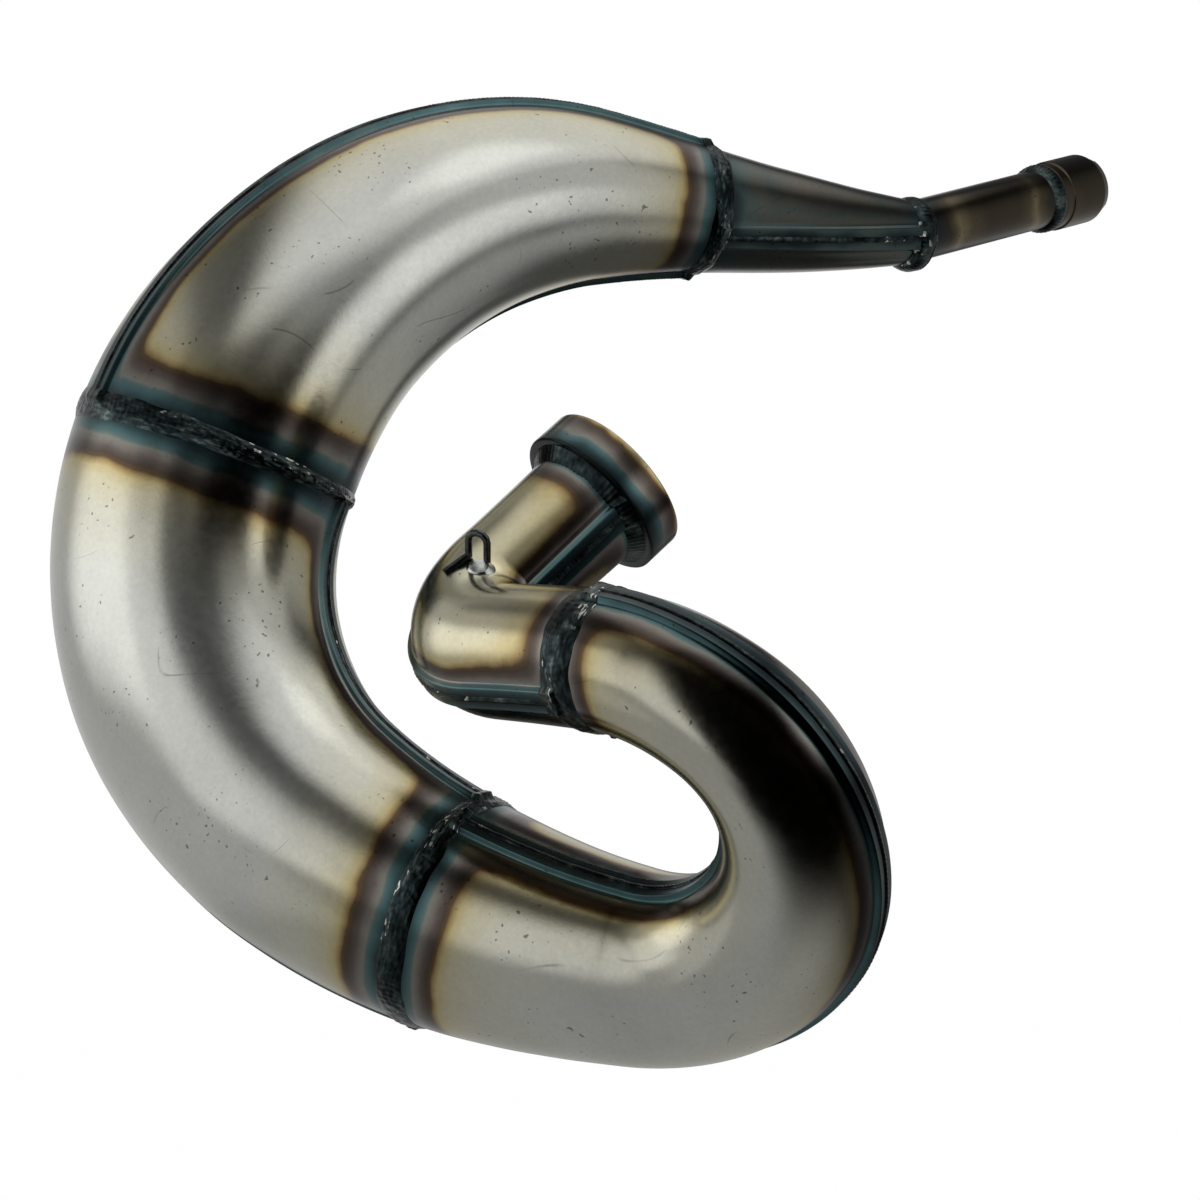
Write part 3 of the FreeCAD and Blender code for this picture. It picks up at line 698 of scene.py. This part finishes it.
def add_socket_weld(material, seed):
    """The fillet between the socket's back face and the elbow."""
    b, start = SOCKET_BEAD, STARTS["elbow"][0]
    clock = clock_angles(b["count"])
    across = np.linspace(0, 1, b["columns"])
    leg = b["leg"] * (1 + wandering(seed, b["count"], *b["swing"]))
    lump = 1 + wandering(seed + 1, b["count"], *b["lump"])
    foot = reach("elbow", 0, clock, seam_clock("elbow", 0))
    outer, inner = [], []
    for number, angle in enumerate(clock):
        out = start.around(angle)
        phase = 2 * np.pi * number / b["pitch"] + b["bow"] * across + b["drift"] * lump[number]
        bulge = b["sag"] * np.sin(np.pi * across) * lump[number] + b["ripple"] * np.cos(phase)
        along = leg[number] * across + bulge * b["spread"]
        rise = leg[number] * b["rise"] * (1 - across) ** b["hollow"] + bulge
        stand = foot[number] + rise - b["tuck"] * across
        outer.append(start.place + np.outer(along, start.along) + np.outer(stand, out))
        low = start.place + out * (foot[number] - b["sunk"])
        inner.append(low + np.outer(across * b["foot"], start.along))
    points, quads = solid_between(np.array(outer), np.array(inner), closed_rows=True)
    piece = add_piece("header_socket_weld_bead", points, quads)
    finish_piece(piece, material, "weld_bead", "header_socket_weld")


def stinger_start():
    return STARTS["end"][0].rolled(STINGER["roll"]).kinked(STINGER["kink"])


def stinger_end():
    return stinger_start().ahead(STINGER["length"])


def add_stinger(material):
    """The outlet tube, cut off square to the cone and pushed into the collar."""
    s, h = STINGER, STINGER_HEAT
    cone_end, start = STARTS["end"][0], stinger_start()
    end = s["length"] + COLLAR["gap"] + COLLAR["overlap"]
    places = np.linspace(0, 1, STINGER_ROWS)
    outer, inner, heat = [], [], []
    for angle in clock_angles(STINGER_SEGMENTS):
        out = start.around(angle)
        for radius, rows in ((s["radius"], outer), (s["radius"] - s["wall"], inner)):
            first = -radius * np.dot(out, cone_end.along) / np.dot(start.along, cone_end.along)
            along = first + (end - first) * places
            rows.append(start.place + np.outer(along, start.along) + radius * out)
            if rows is outer:
                near = np.abs(along) / h["length"] + h["start"]
                far = np.abs(s["length"] - along) / h["end_length"] + h["end_start"]
                heat.append(blended_heat(near, far))
    points, quads = solid_between(np.array(outer), np.array(inner), closed_rows=True)
    heat = np.array(heat).ravel()
    # The tube's inside is made darker than its outside.
    piece = add_piece("stinger_tube_drawn", points, quads, np.concatenate([heat, heat * h["inside"]]))
    finish_piece(piece, material, "stinger_steel", "stinger_tube")


def add_bulge(material, seed):
    """The heavy bead where the cone meets the stinger, with a thin ring beside it."""
    b, end = STINGER_BEAD, STARTS["end"][0]
    across = np.linspace(-1, 1, b["columns"])
    dome = np.sqrt(np.maximum(0, 1 - across ** 2))
    line = b["line"] * np.exp(-((across - b["line_at"]) / b["line_width"]) ** 2)
    lump = 1 + wandering(seed, b["count"], *b["lump"])
    wander = wandering(seed + 1, b["count"], *b["wander"])
    place = end.place + np.array([0, 0, -b["droop"]])
    low = np.full(b["columns"], b["inside"])
    outer, inner = [], []
    for number, angle in enumerate(clock_angles(b["count"])):
        out = end.around(angle)
        rise = b["height"] * dome * lump[number]
        ripple = b["ripple"] * np.cos(2 * np.pi * number / b["pitch"] + b["bow"] * across ** 2) * dome
        stand = b["radius"] + rise + line + ripple
        along = across * b["half_width"] + wander[number]
        outer.append(place + np.outer(along, end.along) + np.outer(stand, out))
        inner.append(place + np.outer(along, end.along) + np.outer(low, out))
    points, quads = solid_between(np.array(outer), np.array(inner), closed_rows=True)
    piece = add_piece("cone_stinger_weld_bead", points, quads)
    finish_piece(piece, material, "weld_bead", "cone_stinger_weld")


def cut_notches(rings, outline, start):
    """Pushes back the collar's end wherever one of its round notches lies."""
    c = COLLAR
    turn = 360 / c["notches"]
    for number, angle in enumerate(clock_angles(SEGMENTS)):
        gap = (angle - c["clock"] + turn / 2) % turn - turn / 2
        offset = c["radius"] * math.sin(math.radians(gap))
        if abs(offset) >= c["notch"]:
            continue
        floor = c["length"] - c["notch_depth"] + c["notch"] - math.sqrt(c["notch"] ** 2 - offset ** 2)
        leaning = floor - (c["length"] - outline[:, 0]) * c["notch_lean"]
        cut = np.minimum(outline[:, 0], np.maximum(leaning, 0))
        shift = np.where(outline[:, 0] > floor, cut - outline[:, 0], 0)
        rings[number] += np.outer(shift, start.along)


def add_collar(material):
    c = COLLAR
    start = stinger_end().ahead(c["gap"])
    low = c["radius"] - c["step_depth"]
    corners = [
        (0, STINGER["radius"]), (0, low), (c["step"], low), (c["step"] + c["step_slope"], c["radius"]),
        (c["length"] - c["taper"], c["radius"]), (c["length"], c["radius"] - c["edge"]),
        (c["length"], c["bore"]), (c["overlap"], c["bore"]), (c["overlap"], STINGER["radius"]),
    ]
    outline = divided(bevelled(corners, c["bevel"]), COLLAR_MESH_STEP)
    rings = lathed(start, outline, SEGMENTS)
    cut_notches(rings, outline, start)
    points, quads = closed_grid(rings)
    heat = np.tile(COLLAR_HEAT["start"] + COLLAR_HEAT["growth"] * outline[:, 0], (SEGMENTS, 1))
    piece = add_piece("end_collar_turned", points, quads, heat)
    finish_piece(piece, material, "collar_steel", "end_collar")


def add_collar_weld(material, seed):
    """The small bead between the stinger and the collar."""
    b, end = COLLAR_BEAD, stinger_end()
    across = np.linspace(-1, 1, b["columns"])
    dome = 1 - across ** 2
    along = b["middle"] + across * b["half_width"]
    low = np.full(b["columns"], STINGER["radius"] - b["sunk"])
    lump = 1 + wandering(seed, b["count"], *b["lump"])
    outer, inner = [], []
    for number, angle in enumerate(clock_angles(b["count"])):
        out = end.around(angle)
        ripple = b["ripple"] * np.cos(2 * np.pi * number / b["pitch"] + b["bow"] * across ** 2)
        rise = dome * (b["height"] * lump[number] + ripple)
        stand = STINGER["radius"] + (1 + across) * b["slope"] + rise
        outer.append(end.place + np.outer(along, end.along) + np.outer(stand, out))
        inner.append(end.place + np.outer(along, end.along) + np.outer(low, out))
    points, quads = solid_between(np.array(outer), np.array(inner), closed_rows=True)
    piece = add_piece("collar_weld_bead", points, quads)
    finish_piece(piece, material, "weld_bead", "collar_weld")


# Materials

# Where noise mostly lies, and nearly all of it
USUAL = (0.3, 0.7)
WIDE = (0.25, 0.75)

# The mix node's sockets for colours, which share their names with those for other values
MIX_SHARE, MIX_FIRST, MIX_SECOND, MIX_RESULT = 0, 6, 7, 2


class Nodes:
    """A material's node tree, with short calls for the nodes used here."""

    def __init__(self, name):
        self.material = bpy.data.materials.new(name)
        self.material.use_nodes = True
        self.tree = self.material.node_tree
        self.shader = self.tree.nodes["Principled BSDF"]
        self.place = self.add("ShaderNodeTexCoord").outputs["Object"]

    def add(self, kind, **values):
        node = self.tree.nodes.new(kind)
        for key, value in values.items():
            setattr(node, key, value)
        return node

    def feed(self, socket, value):
        if isinstance(value, bpy.types.NodeSocket):
            self.tree.links.new(value, socket)
        else:
            socket.default_value = value

    def feed_all(self, node, values):
        for key, value in values.items():
            self.feed(node.inputs[key], value)

    def noise(self, scale, detail=3.0, roughness=0.55):
        """Noise with this many waves to the metre."""
        node = self.add("ShaderNodeTexNoise")
        kind = {"Scale": scale, "Detail": detail, "Roughness": roughness}
        self.feed_all(node, {"Vector": self.place, **kind})
        return node.outputs["Fac"]

    def math(self, operation, first, second=0.0):
        node = self.add("ShaderNodeMath", operation=operation)
        self.feed_all(node, {0: first, 1: second})
        return node.outputs["Value"]

    def vector(self, operation, first, second=(0, 0, 0)):
        node = self.add("ShaderNodeVectorMath", operation=operation)
        self.feed_all(node, {0: first, 1: second})
        return node.outputs["Value" if operation == "LENGTH" else "Vector"]

    def span(self, value, low, high, to_low=0.0, to_high=1.0, curve="LINEAR"):
        """A value's low and high ends moved to new ones, and no further."""
        node = self.add("ShaderNodeMapRange", interpolation_type=curve)
        ends = {"From Min": low, "From Max": high, "To Min": to_low, "To Max": to_high}
        self.feed_all(node, {"Value": value, **ends})
        return node.outputs["Result"]

    def mottle(self, scale, to_low, to_high, detail=3.0, roughness=0.55, ends=USUAL):
        """Noise that wanders between two values."""
        return self.span(self.noise(scale, detail, roughness), *ends, to_low, to_high)

    def ramp(self, value, stops):
        node = self.add("ShaderNodeValToRGB")
        elements = node.color_ramp.elements
        elements.remove(elements[1])
        elements[0].position, elements[0].color = stops[0][0], (*stops[0][1], 1)
        for place, colour in stops[1:]:
            elements.new(place).color = (*colour, 1)
        self.feed(node.inputs["Fac"], value)
        return node.outputs["Color"]

    def mix(self, share, first, second, blend="MIX"):
        node = self.add("ShaderNodeMix", data_type="RGBA", blend_type=blend)
        self.feed_all(node, {MIX_SHARE: share, MIX_FIRST: first, MIX_SECOND: second})
        return node.outputs[MIX_RESULT]

    def shaded(self, colour, shade):
        """A colour times a grey value."""
        grey = self.add("ShaderNodeCombineColor")
        self.feed_all(grey, {0: shade, 1: shade, 2: shade})
        return self.mix(1.0, colour, grey.outputs["Color"], "MULTIPLY")

    def metal(self, colour, roughness, bump, strength, depth):
        """Bare metal of this colour and roughness, with fine bumps of a depth in metres."""
        node = self.add("ShaderNodeBump")
        node.inputs["Strength"].default_value = strength
        node.inputs["Distance"].default_value = depth
        self.feed(node.inputs["Height"], bump)
        self.shader.inputs["Metallic"].default_value = 1.0
        self.feed(self.shader.inputs["Base Color"], colour)
        self.feed(self.shader.inputs["Roughness"], roughness)
        self.feed(self.shader.inputs["Normal"], node.outputs["Normal"])
        return self.material


# Colours that heat leaves on bare steel, from the weld outward
TINT = (
    (0.00, (0.011, 0.014, 0.015)), (0.11, (0.015, 0.023, 0.025)), (0.20, (0.027, 0.047, 0.051)),
    (0.30, (0.050, 0.098, 0.103)), (0.37, (0.082, 0.122, 0.120)), (0.42, (0.165, 0.165, 0.145)),
    (0.49, (0.145, 0.132, 0.117)), (0.58, (0.090, 0.074, 0.066)), (0.68, (0.062, 0.047, 0.037)),
    (0.75, (0.090, 0.058, 0.032)), (0.80, (0.25, 0.178, 0.080)), (0.88, (0.40, 0.340, 0.180)),
    (1.03, (0.44, 0.408, 0.285)), (1.40, (0.455, 0.445, 0.365)), (2.40, (0.445, 0.452, 0.418)),
)

# The cone, and the drawn tube with its collar, are dark from end to end
CONE_TINT = (
    (0.00, (0.016, 0.020, 0.021)), (0.14, (0.030, 0.042, 0.044)), (0.26, (0.052, 0.076, 0.075)),
    (0.40, (0.066, 0.086, 0.080)), (0.58, (0.084, 0.084, 0.070)), (0.80, (0.066, 0.082, 0.074)),
    (1.10, (0.100, 0.092, 0.074)), (2.40, (0.074, 0.084, 0.076)),
)
TUBE_TINT = (
    (0.00, (0.012, 0.014, 0.014)), (0.16, (0.020, 0.024, 0.024)), (0.28, (0.035, 0.030, 0.022)),
    (0.38, (0.09, 0.072, 0.042)), (0.46, (0.18, 0.150, 0.088)), (0.56, (0.085, 0.068, 0.042)),
    (0.72, (0.050, 0.041, 0.028)), (2.40, (0.060, 0.050, 0.034)),
)
TINT_END = 2.4


def marks(n):
    """1 on clean sheet, and less along thin scratches and on small nicks."""
    contour = n.math("ABSOLUTE", n.math("SUBTRACT", n.noise(13, detail=0), 0.5))
    scratched = n.span(n.noise(44, detail=1), 0.54, 0.62)
    scratch = n.math("MULTIPLY", n.span(contour, 0.0005, 0.0018, 0.36, 0.0), scratched)
    nicked = n.span(n.noise(38, detail=1), 0.54, 0.58)
    nick = n.math("MULTIPLY", n.span(n.noise(520, detail=0), 0.76, 0.80, 0.0, 0.6), nicked)
    return n.math("SUBTRACT", 1.0, n.math("MAXIMUM", scratch, nick))


def heated_steel(name, shine=0.19, tint=TINT, wander=0.05, hottest=TINT_END):
    """Bare steel, tinted in bands by the mesh's heat, which is cut off at the hottest value."""
    n = Nodes(name)
    heat = n.add("ShaderNodeAttribute", attribute_name="weld_heat").outputs["Fac"]
    slow = n.mottle(32, -wander, wander, detail=2, ends=WIDE)
    fine = n.mottle(130, -0.014, 0.014, ends=WIDE)
    warped = n.math("ADD", n.math("ADD", n.math("MINIMUM", heat, hottest), slow), fine)
    stops = [(place / TINT_END, colour) for place, colour in tint]
    bands = n.ramp(n.span(warped, 0, TINT_END), stops)
    grain = n.mottle(430, 0.93, 1.03, detail=4, roughness=0.7)
    smudge = n.mottle(22, 1.0, 0.90, roughness=0.6, ends=(0.35, 0.7))
    shade = n.math("MULTIPLY", n.math("MULTIPLY", grain, smudge), marks(n))
    scaled = n.span(warped, 0.02, 0.35, 0.14, 0.0)
    rough = n.mottle(260, shine - 0.025, shine + 0.035, detail=4, roughness=0.6)
    return n.metal(n.shaded(bands, shade), n.math("ADD", rough, scaled), n.noise(800), 0.08, 0.0002)


CHIP_COLOUR = (0.42, 0.41, 0.37, 1)


def weld_metal(name, flowing=False):
    """Bead metal, dark with scale, with bright flecks where it has chipped.

    Where it is flowing, the grain follows the mesh's flow, and so runs with the bead.
    """
    n = Nodes(name)
    if flowing:
        n.place = n.add("ShaderNodeAttribute", attribute_name="weld_flow").outputs["Vector"]
    patch = n.ramp(n.noise(42, roughness=0.6), (
        (0.38, (0.008, 0.011, 0.012)), (0.50, (0.018, 0.027, 0.028)), (0.64, (0.042, 0.056, 0.055)),
    ))
    streak = n.ramp(n.noise(200, roughness=0.6), (
        (0.36, (0.35, 0.35, 0.35)), (0.54, (1, 1, 1)), (0.70, (2.6, 2.5, 2.3)),
    ))
    chipped = n.span(n.noise(26, detail=1), 0.58, 0.62)
    chip = n.span(n.noise(240, detail=1.5, roughness=0.4), 0.635, 0.65)
    scaled = n.mix(1.0, patch, streak, "MULTIPLY")
    colour = n.mix(n.math("MULTIPLY", chip, chipped), scaled, CHIP_COLOUR)
    return n.metal(colour, n.mottle(300, 0.17, 0.36), n.noise(300), 0.35, 0.0003)


def plain_steel(name, light, dark, shine):
    """Steel without tint, for the hooks' wire and welds and for the brackets."""
    n = Nodes(name)
    colour = n.ramp(n.noise(160, detail=4), ((USUAL[0], dark), (USUAL[1], light)))
    rough = n.mottle(400, shine - 0.05, shine + 0.08)
    return n.metal(colour, rough, n.noise(260, roughness=0.6), 0.3, 0.0004)


# Studio: a pale floor, a white background and a light tent that only the metal mirrors

TENT = ((-0.45, -0.30, -0.32), (0.36, 0.50, 0.36))
AROUND = 0.10

# Each soft light on the tent: centre, half sizes, soft edges, strength
SOFT_LIGHTS = (
    ((0.03, 0.00, 0.36), (0.17, 0.24, 0.0), (0.20, 0.22, 0.20), 1.20),
    ((0.08, -0.04, 0.36), (0.03, 0.04, 0.0), (0.19, 0.22, 0.12), 1.82),
    ((0.36, -0.20, 0.08), (0.0, 0.06, 0.06), (0.20, 0.23, 0.17), 1.50),
    ((0.12, -0.30, 0.26), (0.06, 0.02, 0.05), (0.18, 0.10, 0.15), 0.42),
    ((0.36, -0.14, 0.28), (0.02, 0.12, 0.10), (0.22, 0.18, 0.20), 0.80),
    ((0.36, 0.30, 0.00), (0.02, 0.25, 0.14), (0.14, 0.10, 0.24), 0.52),
    ((-0.45, -0.04, 0.03), (0.0, 0.08, 0.04), (0.12, 0.20, 0.20), 1.78),
    ((-0.45, -0.30, -0.02), (0.05, 0.12, 0.12), (0.15, 0.16, 0.12), 1.22),
    ((-0.45, 0.22, 0.00), (0.03, 0.40, 0.34), (0.35, 0.24, 0.10), 0.68),
    ((-0.24, -0.30, -0.12), (0.07, 0.03, 0.06), (0.10, 0.14, 0.20), 1.05),
    ((-0.25, 0.00, -0.32), (0.30, 0.30, 0.05), (0.24, 0.20, 0.30), 0.48),
    ((-0.05, 0.50, 0.12), (0.16, 0.02, 0.10), (0.16, 0.20, 0.18), 0.80),
)

# Dark cards on it: centre, half sizes, soft edges, share of the light that each takes
DARK_CARDS = (
    ((0.05, -0.30, -0.14), (0.12, 0.02, 0.19), (0.10, 0.14, 0.14), 1.0),
    ((0.28, -0.30, -0.24), (0.22, 0.04, 0.10), (0.20, 0.16, 0.18), 1.0),
    ((-0.34, -0.06, 0.36), (0.04, 0.14, 0.02), (0.11, 0.16, 0.06), 0.70),
)


def soft_share(n, centre, half, edge, first):
    """A soft-edged box in space: the first value inside, fading to 0."""
    place = n.vector("SUBTRACT", n.place, centre)
    off = n.vector("MAXIMUM", n.vector("SUBTRACT", n.vector("ABSOLUTE", place), half))
    away = n.vector("LENGTH", n.vector("DIVIDE", off, edge))
    return n.span(away, 0.0, 1.0, first, 0.0, "SMOOTHSTEP")


def add_tent():
    """A box of soft light close round the pipe, which only its reflections show."""
    low, high = TENT
    corners = [(x, y, z) for x in (low[0], high[0]) for y in (low[1], high[1]) for z in (low[2], high[2])]
    faces = ((0, 1, 3, 2), (4, 6, 7, 5), (0, 4, 5, 1), (2, 3, 7, 6), (0, 2, 6, 4), (1, 5, 7, 3))
    mesh = bpy.data.meshes.new("studio_tent")
    mesh.from_pydata(corners, [], faces)
    tent = bpy.data.objects.new("studio_tent", mesh)
    bpy.context.scene.collection.objects.link(tent)
    n = Nodes("tent_light")
    total = AROUND
    for light in SOFT_LIGHTS:
        total = n.math("MAXIMUM", total, soft_share(n, *light))
    for card in DARK_CARDS:
        total = n.math("MULTIPLY", total, n.math("SUBTRACT", 1.0, soft_share(n, *card)))
    glow = n.add("ShaderNodeEmission")
    n.feed(glow.inputs["Strength"], total)
    n.feed(n.tree.nodes["Material Output"].inputs["Surface"], glow.outputs["Emission"])
    tent.data.materials.append(n.material)
    tent.visible_camera = False
    tent.visible_diffuse = False
    tent.visible_shadow = False


def light_room():
    """An even white world, for the background and the floor."""
    world = bpy.data.worlds.new("studio")
    bpy.context.scene.world = world
    world.use_nodes = True
    background = world.node_tree.nodes["Background"]
    background.inputs["Color"].default_value = (1, 1, 1, 1)
    background.inputs["Strength"].default_value = 1.0


FLOOR_DROP = 0.45
FLOOR_SIZE = 12.0
FLOOR_CENTRE = 2.0
FLOOR_COLOUR = (0.8, 0.8, 0.8, 1)
FLOOR_ROUGHNESS = 0.9
FLOOR_WHITE = 0.985


def add_floor():
    """A pale floor, seen white by the camera; metal mirrors the tent instead."""
    height = cad_box[0][2] - FLOOR_DROP
    bpy.ops.mesh.primitive_plane_add(size=FLOOR_SIZE, location=(0, FLOOR_CENTRE, height))
    floor = bpy.context.object
    floor.name = "studio_floor"
    n = Nodes("pale_floor")
    n.shader.inputs["Base Color"].default_value = FLOOR_COLOUR
    n.shader.inputs["Roughness"].default_value = FLOOR_ROUGHNESS
    rays = n.add("ShaderNodeLightPath").outputs
    glow = n.add("ShaderNodeEmission").outputs["Emission"]
    clear = n.add("ShaderNodeBsdfTransparent").outputs["BSDF"]
    white_share = n.math("MULTIPLY", rays["Is Camera Ray"], FLOOR_WHITE)
    surface = n.shader.outputs["BSDF"]
    for share, other in ((white_share, glow), (rays["Is Glossy Ray"], clear)):
        blend = n.add("ShaderNodeMixShader")
        n.feed_all(blend, {0: share, 1: surface, 2: other})
        surface = blend.outputs["Shader"]
    n.feed(n.tree.nodes["Material Output"].inputs["Surface"], surface)
    floor.data.materials.append(n.material)


# Camera: level, looking along +Y, at the photograph's angle

CAMERA_PLACE = (-6.88, -1452.45, -50.09)
FOCAL_PIXELS = 3510
PHOTO_WIDTH = 1200
SENSOR_WIDTH = 36
SEEN_TO = 50


def add_camera():
    data = bpy.data.cameras.new("camera")
    data.sensor_width = SENSOR_WIDTH
    data.lens = FOCAL_PIXELS / PHOTO_WIDTH * data.sensor_width
    data.clip_end = SEEN_TO
    camera = bpy.data.objects.new("camera", data)
    camera.location = [value * MM for value in CAMERA_PLACE]
    camera.rotation_euler = (math.pi / 2, 0, 0)
    bpy.context.scene.collection.objects.link(camera)
    bpy.context.scene.camera = camera


# The pipe's pieces, by the words in their nodes' names

HANDS = {
    "elbow": ("left", "right"), "loop": ("right", "left"), "belly": ("right", "left"),
    "upper": ("right", "left"), "cone": ("lower", "upper"),
}
SEAM_NAMES = {section: ("inner", "outer") for section in ORDER} | {"cone": ("left", "right")}

# Seeds of the beads' random draws
SEEDS = {"seam": 100, "ring": 200, "socket": 300, "stinger": 310, "collar": 320}
SEEDS_A_SECTION = 10


def keep_node(name, material):
    """Gives a CAD node that stays in view its material."""
    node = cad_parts[name]
    node.data.materials.clear()
    node.data.materials.append(material)
    for polygon in node.data.polygons:
        polygon.use_smooth = True


def build():
    sheet = heated_steel("pressed_steel")
    bead = weld_metal("weld_bead")
    ring_bead = weld_metal("ring_weld_bead", flowing=True)
    cone = heated_steel("cone_steel", 0.20, CONE_TINT, 0.18)
    socket = heated_steel("socket_steel", 0.17, TINT, 0.13, 0.85)
    tube = heated_steel("stinger_steel", 0.13, TUBE_TINT, 0.11)
    collar = heated_steel("collar_steel", 0.12, TUBE_TINT, 0.08)
    wire = plain_steel("hook_wire", (0.085, 0.09, 0.09), (0.025, 0.027, 0.028), 0.26)
    blob = plain_steel("hook_weld", (0.50, 0.51, 0.49), (0.22, 0.235, 0.23), 0.22)
    bracket = plain_steel("bracket_steel", (0.34, 0.33, 0.31), (0.18, 0.17, 0.16), 0.38)
    for number, section in enumerate(ORDER):
        for hand, word in zip((1, -1), HANDS[section]):
            add_half(section, word, hand, cone if section == "cone" else sheet)
        for way, word in zip((1, -1), SEAM_NAMES[section]):
            add_seam(section, word, way, bead, SEEDS["seam"] + number * SEEDS_A_SECTION + way)
    for number, (before, after) in enumerate(zip(ORDER, ORDER[1:])):
        add_ring(before, after, ring_bead, SEEDS["ring"] + number * SEEDS_A_SECTION, *RING_SIZES[before])
    add_socket(socket)
    add_socket_weld(bead, SEEDS["socket"])
    add_stinger(tube)
    add_bulge(bead, SEEDS["stinger"])
    add_collar(collar)
    add_collar_weld(bead, SEEDS["collar"])
    for word in ("left", "right"):
        keep_node(f"spring_hook_{word}", wire)
        keep_node(f"spring_hook_{word}_weld", blob)
    for word in ("lower", "upper"):
        keep_node(f"{word}_mounting_tab", bracket)
        keep_node(f"{word}_tab_weld", bead)


bpy.context.scene.view_settings.view_transform = "Standard"
build()
add_floor()
add_tent()
light_room()
add_camera()
